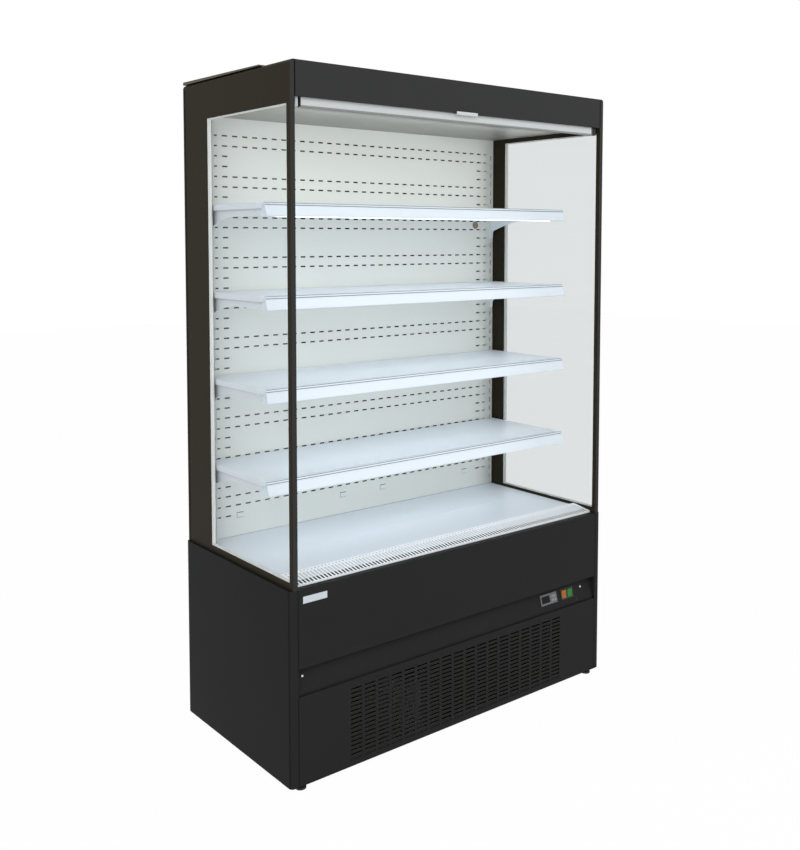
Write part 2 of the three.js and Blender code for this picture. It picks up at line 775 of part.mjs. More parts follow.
function evaporatorTub() {
  const outer = halfBase - sheet - clearance;
  const y = [tubFront, rearWallFront - clearance];
  const wallHeight = [tubFloorTop - 1, tubTop];
  const floor = slab([-outer, outer], y, [tubFloorBottom, tubFloorTop]);
  const sides = [[-outer, -tubInnerHalfWidth], [tubInnerHalfWidth, outer]].map((x) => slab(x, y, wallHeight));
  const frontWall = slab([-outer, outer], [tubFront, tubFront + tubFrontWall],
    [tubFloorTop - 1, tubFrontWallTop]);
  const webs = [-1, 0, 1].map((i) => {
    const x = tubSupportShift + i * tubSupportSpacing;
    return slab([x - tubSupportWidth / 2, x + tubSupportWidth / 2],
      [tubFront + tubFrontWall - 1, grilleRear + 4], wallHeight);
  });
  const uprightSeats = [-1, 1].map((side) => {
    const x = [uprightOuter - uprightWidth - 2, tubInnerHalfWidth + 1].map((value) => value * side);
    return slab([Math.min(...x), Math.max(...x)], [backFace - 2, y[1]], wallHeight);
  });
  const bulkhead = fanCarrier(rectangle([-tubInnerHalfWidth - 1, tubInnerHalfWidth + 1], wallHeight),
    [bulkheadY, bulkheadY + 2], evaporatorFanCentre, evaporatorFanRadius);
  return join(floor, ...sides, frontWall, ...webs, ...uprightSeats, bulkhead);
}

add('evaporator_tub', evaporatorTub(), whiteSteel);
add('evaporator_coil', finnedCoil(evaporatorX, evaporatorY,
  [tubFloorTop + 8, tubFloorTop + clearance + evaporatorHeight], tubFloorTop + clearance, 3, 30), aluminium);
add('evaporator_fan', fan(evaporatorFanRadius, fanHubRadius, fanDepth, 5)
  .translate(evaporatorFanCentre[0], bulkheadY - fanDepth / 2 - 2, evaporatorFanCentre[1]), blackPlastic);

// ---------------------------------------------------------------- body

function insulatedRearWall() {
  const half = halfInside - clearance;
  const outer = slab([-half, half], [rearWallFront, rear], [tubFloorBottom, roofBottom - clearance]);
  const inner = slab([-half + sheet, half - sheet], [rearWallFront + sheet, rear - sheet],
    [tubFloorBottom + sheet, roofBottom]);
  return cut(outer, inner);
}

function endPanel() {
  const r = endPanelCornerRadius;
  const bottom = baseTop + clearance;
  const outline = [
    [front, bottom], [rear, bottom],
    ...arc([rear - r, cabinetTop - r], r, 0, 90, 4),
    [front, cabinetTop],
  ];
  const opening = rectangle([front + glassFrontPost, rear - glassRearPost], [glassBottom, glassTop]);
  const panel = alongX(outline, [halfInside, halfInside + endPanelThickness], [opening]);
  const softening = 1.5; // chamfer down the outer front corner
  const x = halfInside + endPanelThickness;
  const corner = alongZ([
    [x - softening - 1, front - 1], [x + 1, front - 1], [x + 1, front + softening + 1],
  ], [bottom - 1, cabinetTop + 1]);
  const hollow = [halfInside + endPanelWall, x - endPanelWall];
  const postHollow = slab(hollow, [rear - glassRearPost + 6, rear - 10], [bottom - 1, cabinetTop - 12]);
  const topHollow = slab(hollow, [front + glassFrontPost, rear - glassRearPost + 8],
    [glassTop + 6, cabinetTop - 12]);
  return cut(panel, corner, postHollow, topHollow);
}

function sideGlass() {
  const x = halfInside + (endPanelThickness - glassThickness) / 2;
  return slab([x, x + glassThickness],
    [front + glassFrontPost + clearance, rear - glassRearPost - clearance],
    [glassBottom + clearance, glassTop - clearance]);
}

function canopyFascia() {
  const half = halfInside - clearance;
  const line = [
    [front + fasciaReturn, cabinetTop], [front, cabinetTop],
    [front, fasciaBottom], [front + fasciaReturn, fasciaBottom],
  ];
  return alongX(folded(line, sheet), [-half, half]);
}

function canopyRoof() {
  const half = halfInside - clearance;
  const lidHalf = cabinetWidth / 2;
  const low = cabinetTop + clearance;
  const bodyFront = front + fasciaReturn + clearance;
  const body = slab([-half, half], [bodyFront, rear], [roofBottom, low + 0.5]);
  const hollow = slab([-half + sheet, half - sheet], [bodyFront + sheet, rear - sheet],
    [roofBottom + sheet, cabinetTop - sheet]);
  const cables = cylinder(cableHole.radius, [roofBottom - 1, roofBottom + 3], 16)
    .translate(halfInside - cableHole.fromSide, rear - cableHole.fromRear, 0);
  const frontCut = slab([-half - 1, half + 1], [front, front + lidSetBack + 2], [cabinetTop, low + 1]);
  const lid = alongX([
    [front + lidSetBack, low], [rear, low], [rear, cabinetTop + lidRise],
    [front + lidSetBack + 6, cabinetTop + lidRiseFront],
  ], [-lidHalf, lidHalf]);
  return join(cut(body, frontCut, hollow, cables), lid);
}

function ceilingPanel() {
  const half = halfInside - clearance;
  const frontEdge = front + ceilingFront;
  const line = [
    [rearWallFront - clearance, ceilingHeight + ceilingFlange],
    [rearWallFront - clearance, ceilingHeight],
    [frontEdge, ceilingHeight],
    [frontEdge, ceilingHeight + ceilingFlange],
  ];
  const skin = alongX(folded([...line].reverse(), sheet), [-half, half]);
  const first = (-(dischargeSlots - 1) / 2) * dischargePitch;
  const slots = Array.from({ length: dischargeSlots }, (_, i) => {
    const x = first + i * dischargePitch;
    return slab([x - dischargeSlotLength / 2, x + dischargeSlotLength / 2],
      [frontEdge + 5, frontEdge + 5 + dischargeSlotWidth], [ceilingHeight - 1, ceilingHeight + 3]);
  });
  const ductEnd = halfInside - ductSlotEnd;
  const duct = slab([-ductEnd, ductEnd], [backFace + 6, rearWallFront - 6], [ceilingHeight - 1, ceilingHeight + 3]);
  return cut(skin, ...slots, duct);
}

function lampTube() {
  const y = front + lampSetBack;
  const top = ceilingHeight - clearance;
  const section = [
    [y, top], [y, top - lampHeight + 3], [y + 3, top - lampHeight],
    [y + lampWidth - 3, top - lampHeight], [y + lampWidth, top - lampHeight + 3], [y + lampWidth, top],
  ];
  return alongX(section, [-lampHalfLength, lampHalfLength]);
}

function backPanel() {
  const half = uprightOuter - uprightWidth - clearance;
  const line = [
    [-half, backFace + 12], [-half, backFace], [half, backFace], [half, backFace + 12],
  ];
  return alongZ(folded(line, shelfSheet), [tubTop + clearance, ceilingHeight - clearance]);
}

function upright() {
  const inner = uprightOuter - uprightWidth;
  const back = rearWallFront - clearance;
  const plan = [[inner, back], [inner, backFace], [uprightOuter, backFace], [uprightOuter, back]];
  const channel = alongZ(folded(plan, 2), [tubTop + clearance, ceilingHeight - clearance]);
  const firstSlot = topShelf - slotBelowShelf + 7 * slotPitch;
  const slots = Array.from({ length: slotCount }, (_, i) => {
    const z = firstSlot - i * slotPitch;
    return slab([bracketX - slotWidth / 2, bracketX + slotWidth / 2],
      [backFace - 1, backFace + 3], [z - slotHeight / 2, z + slotHeight / 2]);
  });
  return cut(channel, ...slots);
}

add('insulated_rear_wall', insulatedRearWall(), brownBlackSteel);
addPair('end_panel', endPanel(), brownBlackSteel);
addPair('side_glass', sideGlass(), [0xdfe8ea, 0.05, 0], 0.35);
add('canopy_fascia', canopyFascia(), greyBlackSteel);
add('canopy_roof', canopyRoof(), blackSteel);
add('ceiling_panel', ceilingPanel(), whiteSteel);
add('lamp_tube', lampTube(), [0xffffff, 0.3, 0]);
add('back_panel', backPanel(), whiteSteel);
addPair('upright', upright(), whiteSteel);

// ---------------------------------------------------------------- deck and air grille

function deckPan() {
  const y = [grilleRear + 2, backFace - clearance];
  const outer = slab([-deckHalfWidth, deckHalfWidth], y, [deckTop - deckFlange, deckTop]);
  const inner = slab([-deckHalfWidth + sheet, deckHalfWidth - sheet], [y[0] + sheet, y[1] - sheet],
    [deckTop - deckFlange - 1, deckTop - sheet]);
  const seam = slab([-deckHalfWidth - 1, deckHalfWidth + 1],
    [deckSeamY - deckSeamWidth / 2, deckSeamY + deckSeamWidth / 2], [deckTop - deckSeamDepth, deckTop + 1]);
  return cut(outer, inner, seam);
}

function airReturnGrille() {
  const crest = deckTop + grilleCrest;
  const lip = baseTop + grilleLipHeight;
  const line = [
    [grilleFront, baseTop - 8], [grilleFront, lip], [grilleFront + 5, lip + 4],
    [grilleFront + 60, crest], [grilleRear, deckTop + 2], [grilleRear, tubTop + clearance],
  ];
  const body = alongX(folded([...line].reverse(), shelfSheet), [-deckHalfWidth, deckHalfWidth]);
  const first = (-(grilleSlots - 1) / 2) * grilleSlotPitch;
  const slots = Array.from({ length: grilleSlots }, (_, i) => {
    const x = first + i * grilleSlotPitch;
    return slab([x - grilleSlotWidth / 2, x + grilleSlotWidth / 2],
      [grilleFront + 8, grilleFront + 57], [baseTop, crest + 5]);
  });
  return cut(body, ...slots);
}

add('deck_pan', deckPan(), whiteSteel);
add('air_return_grille', airReturnGrille(), whiteSteel);

// ---------------------------------------------------------------- shelves

function shelfTray(top) {
  const y = [shelfFront, shelfRear];
  const outer = slab([-shelfHalfWidth, shelfHalfWidth], y, [top - shelfFlange, top]);
  const inner = slab([-shelfHalfWidth + shelfSheet, shelfHalfWidth - shelfSheet],
    [y[0] + shelfSheet, y[1] - shelfSheet], [top - shelfFlange - 1, top - shelfSheet]);
  return cut(outer, inner);
}

// Side plate under the shelf; its two tongues hook into the upright's slots.
function shelfBracket(top) {
  const underTray = top - shelfSheet - clearance;
  const underFlange = top - shelfFlange - clearance;
  const inFront = shelfFront + shelfSheet + clearance;
  const inRear = shelfRear - shelfSheet - clearance;
  const back = backFace - 0.5;
  const tongue = (z) => [
    [back, z + 6.5], [back + 8, z + 5.5], [back + 8, z - 5.5], [back, z - 6.5],
  ];
  const hook = top - slotBelowShelf - 2;
  const outline = [
    [shelfFront - 2.5, underFlange], [inFront, underFlange], [inFront, underTray], [inRear, underTray],
    [inRear, underFlange], [back - 3.2, underFlange],
    ...tongue(hook), ...tongue(hook - 2 * slotPitch),
    [back, top - bracketLeg], [back - 4, top - bracketLeg],
    ...arc([back - 4, top - bracketLeg + 8], 8, 270, 180, 4).slice(1),
    ...arc([back - 26, top - bracketLeg + 18], 14, 0, 90, 5),
    [backFace - 63, top - 54], [backFace - 106, top - 43], [backFace - 143, top - bracketDrop],
    [shelfFront - 2.5, top - bracketDrop],
  ];
  const plate = alongX([...outline].reverse(), [bracketX - bracketThickness / 2, bracketX + bracketThickness / 2]);
  const slot = slab([bracketX - 5, bracketX + 5], [shelfFront + 33, shelfFront + 45], [top - 28, top - 22]);
  const eye = cylinder(2.5, [bracketX - 5, bracketX + 5], 12, 'x').translate(0, backFace - 12, top - 57);
  return cut(plate, slot, eye);
}

function shelfRail(top) {
  const low = top - railDrop;
  const foot = shelfFront - railReach;
  const line = [
    [shelfFront - 2.5 - clearance, low], [foot + railLean + railTopWidth, top],
    [foot + railLean, top], [foot, low],
  ];
  return alongX(folded(line, railWall), [-shelfHalfWidth, shelfHalfWidth]);
}

for (let i = 0; i < shelfCount; i += 1) {
  const top = topShelf - i * shelfPitch;
  add(`shelf_${i + 1}_tray`, shelfTray(top), whiteSteel);
  add(`shelf_${i + 1}_price_rail`, shelfRail(top), whitePlastic);
  addPair(`shelf_${i + 1}_bracket`, shelfBracket(top), whiteSteel);
}

// ---------------------------------------------------------------- night blind

function blindCassette() {
  const y = [cassetteFront, cassetteFront + cassetteDepth];
  const z = [roofBottom - clearance - cassetteHeight, roofBottom - clearance];
  const half = cassetteHalfLength;
  const outer = slab([-half, half], y, z);
  const end = half - cassetteEnd;
  const inner = slab([-end, end], [y[0] + cassetteSheet, y[1] - cassetteSheet],
    [z[0] + cassetteSheet, z[1] - cassetteSheet]);
  const mouth = slab([-end, end], [y[0] + 3, y[0] + 18], [z[0] - 1, z[0] + 3]);
  const seats = [-1, 1].map((side) => {
    const x = [side * (half + 1), side * (end - 1)];
    return cylinder(rollerPinRadius + clearance, [Math.min(...x), Math.max(...x)], 16, 'x')
      .translate(0, rollerY, rollerZ);
  });
  return cut(outer, inner, mouth, ...seats);
}

function blindRoller() {
  const roll = cylinder(clothRollRadius, [-clothHalfWidth, clothHalfWidth], 24, 'x');
  const tube = cylinder(rollerRadius, [-clothHalfWidth - 8, clothHalfWidth + 8], 20, 'x');
  const pins = cylinder(rollerPinRadius, [-cassetteHalfLength + 0.5, cassetteHalfLength - 0.5], 16, 'x');
  return join(roll, tube, pins).translate(0, rollerY, rollerZ);
}

function blindCloth() {
  const back = rollerY - clothRollRadius - clearance;
  return slab([-clothHalfWidth, clothHalfWidth], [back - clothThickness, back], [barTop + clearance, rollerZ]);
}

function blindPullBar() {
  const y = [barFront, barFront + barDepth];
  const low = barTop - barHeight;
  const outline = [
    [y[0], low - barLip], [y[0] + barWall, low - barLip], [y[0] + barWall, low], [y[1] - 2, low],
    [y[1], low + 2], [y[1], barTop - 2], [y[1] - 2, barTop], [y[0] + 2, barTop], [y[0], barTop - 2],
  ];
  const hollow = rectangle([y[0] + barWall, y[1] - barWall], [low + barWall, barTop - barWall]);
  const bar = alongX(outline, [-barHalfLength, barHalfLength], [hollow]);
  const under = barTop - handleDrop;
  const lip = y[0] - handleReach;
  const handle = folded([
    [y[0] + 1, under + handleWall], [y[0] + 1, under], [lip, under], [lip, under + handleLip],
  ].reverse(), handleWall);
  return join(bar, alongX(handle, [-handleWidth / 2, handleWidth / 2]));
}

add('blind_cassette', blindCassette(), whiteSteel);
add('blind_roller', blindRoller(), clothGrey);
add('blind_cloth', blindCloth(), clothGrey);
add('blind_pull_bar', blindPullBar(), whitePlastic);

export default cabinet;
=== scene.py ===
# Open-fronted refrigerated display cabinet, dressed over its frame. Metres, the open front faces -Y.

import json
import math

import bmesh
import bpy
from mathutils import Matrix, Vector

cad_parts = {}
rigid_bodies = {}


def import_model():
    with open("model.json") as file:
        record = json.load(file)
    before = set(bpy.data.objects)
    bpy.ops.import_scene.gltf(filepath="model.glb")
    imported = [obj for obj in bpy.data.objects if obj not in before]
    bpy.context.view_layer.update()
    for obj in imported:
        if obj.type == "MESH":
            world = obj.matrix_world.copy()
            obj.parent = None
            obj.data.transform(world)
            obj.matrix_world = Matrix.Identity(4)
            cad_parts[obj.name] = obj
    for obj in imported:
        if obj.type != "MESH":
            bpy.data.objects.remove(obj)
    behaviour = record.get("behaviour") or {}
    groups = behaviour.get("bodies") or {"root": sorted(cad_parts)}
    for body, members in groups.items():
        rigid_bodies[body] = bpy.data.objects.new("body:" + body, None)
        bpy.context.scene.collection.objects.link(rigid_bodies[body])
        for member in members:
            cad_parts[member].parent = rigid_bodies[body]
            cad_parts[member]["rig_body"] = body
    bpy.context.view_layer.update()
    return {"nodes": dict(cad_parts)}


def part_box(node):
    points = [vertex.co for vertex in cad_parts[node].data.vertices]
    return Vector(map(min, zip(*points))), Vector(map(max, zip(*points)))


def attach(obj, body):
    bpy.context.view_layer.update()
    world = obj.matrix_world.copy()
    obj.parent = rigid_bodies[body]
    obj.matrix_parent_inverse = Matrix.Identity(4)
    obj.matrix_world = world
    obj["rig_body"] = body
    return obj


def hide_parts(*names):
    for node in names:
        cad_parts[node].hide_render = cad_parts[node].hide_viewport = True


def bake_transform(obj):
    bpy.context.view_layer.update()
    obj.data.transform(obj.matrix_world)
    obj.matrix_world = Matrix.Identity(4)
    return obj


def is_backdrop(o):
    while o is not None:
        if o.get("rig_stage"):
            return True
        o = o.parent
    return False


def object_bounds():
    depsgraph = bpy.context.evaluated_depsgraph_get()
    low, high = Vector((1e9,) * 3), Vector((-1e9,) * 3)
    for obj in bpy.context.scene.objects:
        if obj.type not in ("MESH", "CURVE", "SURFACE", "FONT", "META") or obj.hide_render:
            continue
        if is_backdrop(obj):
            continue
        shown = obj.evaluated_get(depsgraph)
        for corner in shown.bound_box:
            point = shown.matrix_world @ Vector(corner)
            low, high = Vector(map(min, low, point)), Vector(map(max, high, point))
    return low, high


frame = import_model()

# ------------------------------------------------------------------ camera, floor and light
# A product photographer's studio: the camera stands as high as the upper shelves and looks a little
# down with a shifted lens, on a pale floor in a white room with large soft lamps. Thin lamps that are
# never seen light the display from under its ceiling and shelves.

camera_place = Vector((-2.01824, -2.49773, 1.48599))
camera_dip = 3.5844
camera_turn = 38.7433
lens_length = 42.381
lens_shift = -0.1443
room_light = 0.5
floor_reach = 14.0
floor_white = 0.94
floor_glow = 0.98
strip_length = 1.10
strip_width = 0.02
strip_aim_depth = 0.205
display_strips = [  # depth, height, height of the point on the back that it faces, watts
    (-0.125, 1.800, 1.800, 0.58), (0.000, 1.600, 1.853, 0.28), (-0.125, 1.545, 1.380, 0.67),
    (-0.125, 1.287, 1.147, 0.66), (-0.125, 1.030, 0.930, 0.66), (-0.125, 0.772, 0.790, 0.70),
]


def tint(red, green, blue):
    """Linear colour of a paint swatch given in screen values of 0 to 255."""
    parts = [c / 3294.6 if c < 11 else ((c / 255 + 0.055) / 1.055) ** 2.4 for c in (red, green, blue)]
    return [*parts, 1.0]


def wired(tree, kind, feeds=None, **settings):
    """A node of a tree with its settings, and what each of its inputs holds or is linked to."""
    made = tree.nodes.new(kind)
    for key, value in settings.items():
        setattr(made, key, value)
    for key, value in (feeds or {}).items():
        if isinstance(value, bpy.types.NodeSocket):
            tree.links.new(value, made.inputs[key])
        else:
            made.inputs[key].default_value = value
    return made


def flow(tree, kind, feeds=None, **settings):
    """The first output of such a node."""
    return wired(tree, kind, feeds, **settings).outputs[0]


def maths(tree, operation, *values):
    """What a Math node makes of these values."""
    return flow(tree, "ShaderNodeMath", dict(enumerate(values)), operation=operation)


def seen_directly(tree):
    """1 where a ray comes from the camera, a mirror or glass, and 0 where it only lights."""
    path = wired(tree, "ShaderNodeLightPath").outputs
    mirrored = maths(tree, "MAXIMUM", path["Is Camera Ray"], path["Is Glossy Ray"])
    return maths(tree, "MAXIMUM", mirrored, path["Is Transmission Ray"])


def emptied(holder):
    """The node tree of a world or a material, with nothing in it."""
    holder.use_nodes = True
    holder.node_tree.nodes.clear()
    return holder.node_tree


def soft_lamp(name, place, aim, size, watts, width=None):
    """A large square lamp that faces a point, or a long one of this width that only lights."""
    light = bpy.data.lights.new(name, "AREA")
    light.shape = "RECTANGLE"
    light.size = size
    light.size_y = width or size
    light.energy = watts
    light.color = (0.955, 0.98, 1.0) if width else (1.0, 1.0, 1.0)
    lamp = bpy.data.objects.new(name, light)
    lamp.location = place
    lamp.rotation_euler = (Vector(aim) - Vector(place)).to_track_quat("-Z", "Y").to_euler()
    lamp.visible_glossy = lamp.visible_camera = lamp.visible_transmission = width is None
    scene.collection.objects.link(lamp)


scene = bpy.context.scene
scene.view_settings.view_transform = "Standard"
lens = bpy.data.cameras.new("camera")
lens.lens = lens_length
lens.shift_y = lens_shift
lens.clip_end = 60
camera = bpy.data.objects.new("camera", lens)
camera.location = camera_place
camera.rotation_euler = (math.radians(90 - camera_dip), 0, math.radians(-camera_turn))
scene.collection.objects.link(camera)
scene.camera = camera

room = bpy.data.worlds.new("white room")
scene.world = room
tree = emptied(room)
lit = flow(tree, "ShaderNodeBackground", {"Color": (0.97, 0.985, 1, 1), "Strength": room_light})
seen = flow(tree, "ShaderNodeBackground", {"Color": (1, 1, 1, 1), "Strength": 1.0})
mixed = flow(tree, "ShaderNodeMixShader", {0: seen_directly(tree), 1: lit, 2: seen})
wired(tree, "ShaderNodeOutputWorld", {"Surface": mixed})

floor_mesh = bpy.data.meshes.new("floor")
corners = [(x * floor_reach, y * floor_reach, 0) for x, y in ((-1, -1), (1, -1), (1, 1), (-1, 1))]
floor_mesh.from_pydata(corners, [], [(0, 1, 2, 3)])
floor = bpy.data.objects.new("floor", floor_mesh)
scene.collection.objects.link(floor)
floor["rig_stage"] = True
floor_finish = bpy.data.materials.new("pale floor")
tree = emptied(floor_finish)
matt = flow(tree, "ShaderNodeBsdfDiffuse", {"Color": (floor_white, floor_white, floor_white, 1)})
bright = flow(tree, "ShaderNodeEmission", {"Color": (1, 1, 1, 1), "Strength": 1.0})
share = maths(tree, "MULTIPLY", seen_directly(tree), floor_glow)
mixed = flow(tree, "ShaderNodeMixShader", {0: share, 1: matt, 2: bright})
wired(tree, "ShaderNodeOutputMaterial", {"Surface": mixed})
floor_mesh.materials.append(floor_finish)

soft_lamp("front lamp", (-0.8, -3.3, 3.6), (0, 0, 1.1), 2.6, 42)
soft_lamp("left lamp", (-3.6, -2.2, 2.2), (0, 0, 1.0), 2.4, 50)
soft_lamp("right lamp", (3.6, -2.8, 2.6), (0, 0, 1.0), 2.4, 35)
for depth, height, aim_height, watts in display_strips:
    aim = (0, strip_aim_depth, aim_height)
    soft_lamp(f"display strip at {height}", (0, depth, height), aim, strip_length, watts, strip_width)

# ------------------------------------------------------------------ base chassis
# A tray with four corner posts, folded from hot-dip galvanised sheet and welded. The zinc freezes in
# flakes that each shine a little differently. Its front, seen through the lowest louvre slots, is painted
# black as painted shade.

shaded_chassis_front = -0.25
merge_gap = 0.00002


def node_group(name, kind, inputs, outputs):
    """An empty tree with its sockets, its inputs to link from, and its output node."""
    tree = bpy.data.node_groups.new(name, kind)
    for label, socket, value in inputs:
        made = tree.interface.new_socket(label, in_out="INPUT", socket_type=socket)
        if value is not None:
            made.default_value = value
    for label, socket in outputs:
        tree.interface.new_socket(label, in_out="OUTPUT", socket_type=socket)
    return tree, wired(tree, "NodeGroupInput").outputs, tree.nodes.new("NodeGroupOutput")


def finish_group(name, numbers):
    """A shader group from a place, a colour and these numbers to a colour, a roughness and a height."""
    inputs = [("Place", "NodeSocketVector", None), ("Colour", "NodeSocketColor", (0.5, 0.5, 0.5, 1))]
    inputs += [(label, "NodeSocketFloat", value) for label, value in numbers.items()]
    outputs = [("Colour", "NodeSocketColor"), ("Roughness", "NodeSocketFloat"), ("Height", "NodeSocketFloat")]
    return node_group(name, "ShaderNodeTree", inputs, outputs)


def toned(tree, colour, tone):
    """A colour made lighter or darker by a factor."""
    return flow(tree, "ShaderNodeVectorMath", {0: colour, "Scale": tone}, operation="SCALE")


def led_out(tree, out, *results):
    """A shader group whose colour, roughness and height have been linked to its outputs."""
    for result, socket in zip(results, out.inputs):
        tree.links.new(result, socket)
    return tree


def zinc_flakes():
    """Shader group: the flakes of a zinc coat, each with its own tone and shine."""
    tree, given, out = finish_group(
        "zinc flakes", {"Flakes per Metre": 90.0, "Contrast": 0.2, "Roughness": 0.4})
    flakes = wired(tree, "ShaderNodeTexVoronoi",
                   {"Vector": given["Place"], "Scale": given["Flakes per Metre"]}).outputs
    parts = wired(tree, "ShaderNodeSeparateColor", {0: flakes["Color"]}).outputs
    around = maths(tree, "SUBTRACT", parts[0], 0.5)
    tone = maths(tree, "MULTIPLY_ADD", around, given["Contrast"], 1.0)
    shine = maths(tree, "MULTIPLY_ADD", parts[1], 0.18, given["Roughness"])
    return led_out(tree, out, toned(tree, given["Colour"], tone), shine, flakes["Distance"])


def finish_of(name, group, values, relief, **shine):
    """A material: a Principled surface whose colour, roughness and bump come from a shader group."""
    material = bpy.data.materials.new(name)
    material.use_nodes = True
    tree = material.node_tree
    surface = tree.nodes["Principled BSDF"]
    for label, value in shine.items():
        surface.inputs[label.replace("_", " ").title().replace("Ior", "IOR")].default_value = value
    place = wired(tree, "ShaderNodeTexCoord").outputs["Object"]
    effect = wired(tree, "ShaderNodeGroup", {"Place": place, **values}, node_tree=group).outputs
    bump = flow(tree, "ShaderNodeBump", {"Height": effect["Height"], "Distance": relief})
    tree.links.new(effect["Colour"], surface.inputs["Base Color"])
    tree.links.new(effect["Roughness"], surface.inputs["Roughness"])
    tree.links.new(bump, surface.inputs["Normal"])
    return material


def paint_film():
    """Shader group: the fine orange peel and faint clouding of baked powder paint or moulded plastic."""
    tree, given, out = finish_group(
        "paint film", {"Roughness": 0.4, "Grain per Metre": 900.0, "Clouding": 0.08, "Unevenness": 0.1})
    cloud = flow(tree, "ShaderNodeTexNoise", {"Vector": given["Place"], "Scale": 4.0, "Detail": 3.0})
    around = maths(tree, "SUBTRACT", cloud, 0.5)
    tone = maths(tree, "MULTIPLY_ADD", around, given["Clouding"], 1.0)
    shine = maths(tree, "MULTIPLY_ADD", around, given["Unevenness"], given["Roughness"])
    grain = flow(tree, "ShaderNodeTexNoise",
                 {"Vector": given["Place"], "Scale": given["Grain per Metre"], "Detail": 1.0})
    return led_out(tree, out, toned(tree, given["Colour"], tone), shine, grain)


def painted(name, swatch, roughness, relief=0.00003, specular=0.5, clouding=0.08, **shine):
    """A powder-coated or moulded finish of a colour given in screen values."""
    values = {"Colour": tint(*swatch), "Roughness": roughness, "Clouding": clouding}
    return finish_of(name, paint, values, relief, specular_ior_level=specular, **shine)


def as_mesh(work, name):
    """The mesh that was worked on."""
    mesh = bpy.data.meshes.new(name)
    work.to_mesh(mesh)
    work.free()
    return mesh


def merged(node):
    """A copy of a frame node's mesh with its loose triangles joined."""
    work = bmesh.new()
    work.from_mesh(frame["nodes"][node].data)
    bmesh.ops.remove_doubles(work, verts=work.verts, dist=merge_gap)
    return as_mesh(work, node)


def fitted(name, mesh, body="cabinet", instead_of=(), material=None, edge=0.0, steps=2, sharp=35):
    """A finished piece: a mesh with its edges eased, its finish, what it rides on and what it stands for."""
    piece = bpy.data.objects.new(name, mesh)
    scene.collection.objects.link(piece)
    if material:
        mesh.materials.clear()
        mesh.materials.append(material)
        mesh.polygons.foreach_set("material_index", [0] * len(mesh.polygons))
    mesh.shade_smooth()
    if edge:
        bevel = piece.modifiers.new("eased edges", "BEVEL")
        bevel.width = edge
        bevel.segments = steps
        bevel.limit_method = "ANGLE"
        bevel.angle_limit = math.radians(sharp)
        bevel.miter_outer = "MITER_ARC"
        piece.modifiers.new("flat faces", "WEIGHTED_NORMAL")
        made = bpy.data.meshes.new_from_object(piece.evaluated_get(bpy.context.evaluated_depsgraph_get()))
        piece.modifiers.clear()
        piece.data = made
    else:
        mesh.set_sharp_from_angle(angle=math.radians(sharp))
    if body:
        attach(piece, body)
    if instead_of:
        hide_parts(*instead_of)
    return piece


def eased(node, made, material, edge=0.0, steps=2, sharp=35):
    """A frame node as its real piece, with the small radius that its making leaves on every edge."""
    body = frame["nodes"][node]["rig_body"]
    return fitted(f"{node}_{made}", merged(node), body, [node], material, edge, steps, sharp)


def two_toned(piece, second, chosen):
    """A piece with a second finish on the faces that a test picks out."""
    piece.data.materials.append(second)
    for face in piece.data.polygons:
        face.material_index = int(chosen(face))


galvanised = finish_of("galvanised sheet", zinc_flakes(), {"Colour": tint(112, 115, 118)}, 0.00002,
                       metallic=0.85)
paint = paint_film()
base_paint = painted("black powder coat", (41, 41, 41), 0.42, specular=0.03)
chassis = eased("base_chassis", "welded", galvanised)
# The chassis front behind the louvres is black as painted shade.
two_toned(chassis, base_paint, lambda face: face.center.y < shaded_chassis_front)

# ------------------------------------------------------------------ levelling feet
# Four feet: a moulded black pad over the end of a zinc-plated steel stud with an M10 thread, which
# screws through the chassis floor.

stud_radius = 0.0048
stud_foot, stud_head = 0.0140, 0.0448
thread_foot = 0.0150
thread_pitch = 0.0015
thread_depth = 0.0007
thread_turns = 20
pad_profile = [
    (0, 0), (0.0150, 0), (0.0160, 0.0008), (0.0160, 0.0052), (0.0152, 0.0060), (0.0100, 0.0088),
    (0.0090, 0.0100), (0.0090, 0.0142), (0.0085, 0.0147), (0, 0.0147),
]


def turned(profile, steps=40):
    """A mesh turned about Z from a profile of (radius, height) that starts and ends on the axis."""
    work = bmesh.new()
    line = [work.verts.new((radius, 0, height)) for radius, height in profile]
    edges = [work.edges.new(pair) for pair in zip(line, line[1:])]
    bmesh.ops.spin(work, geom=line + edges, cent=(0, 0, 0), axis=(0, 0, 1), angle=math.tau, steps=steps)
    bmesh.ops.remove_doubles(work, verts=work.verts, dist=0.000002)
    bmesh.ops.recalc_face_normals(work, faces=work.faces)
    return as_mesh(work, "turned")


def joined(*parts):
    """One mesh from several, each given as (mesh, material) or (mesh, material, place)."""
    work = bmesh.new()
    materials = []
    for index, (part, material, *place) in enumerate(parts):
        first_vertex, first_face = len(work.verts), len(work.faces)
        work.from_mesh(part)
        work.verts.ensure_lookup_table()
        work.faces.ensure_lookup_table()
        if place:
            bmesh.ops.transform(work, matrix=place[0], verts=work.verts[first_vertex:])
        for face in work.faces[first_face:]:
            face.material_index = index
        materials.append(material)
    mesh = as_mesh(work, "joined")
    for material in materials:
        mesh.materials.append(material)
    return mesh


black_plastic = painted("black moulded plastic", (30, 30, 30), 0.5, specular=0.4)
thread = [(0, stud_foot), (stud_radius, stud_foot)]
for turn in range(thread_turns):
    crest = thread_foot + turn * thread_pitch
    thread += [(stud_radius, crest), (stud_radius - thread_depth, crest + thread_pitch / 2)]
thread += [(stud_radius - thread_depth, stud_head), (0, stud_head)]
for corner in ("front_left", "front_right", "rear_left", "rear_right"):
    node = f"levelling_foot_{corner}"
    low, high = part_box(node)
    place = Matrix.Translation(((low.x + high.x) / 2, (low.y + high.y) / 2, 0))
    mesh = joined((turned(pad_profile), black_plastic, place), (turned(thread, 24), galvanised, place))
    fitted(f"levelling_pad_and_stud_{corner}", mesh, f"foot_{corner}", [node])
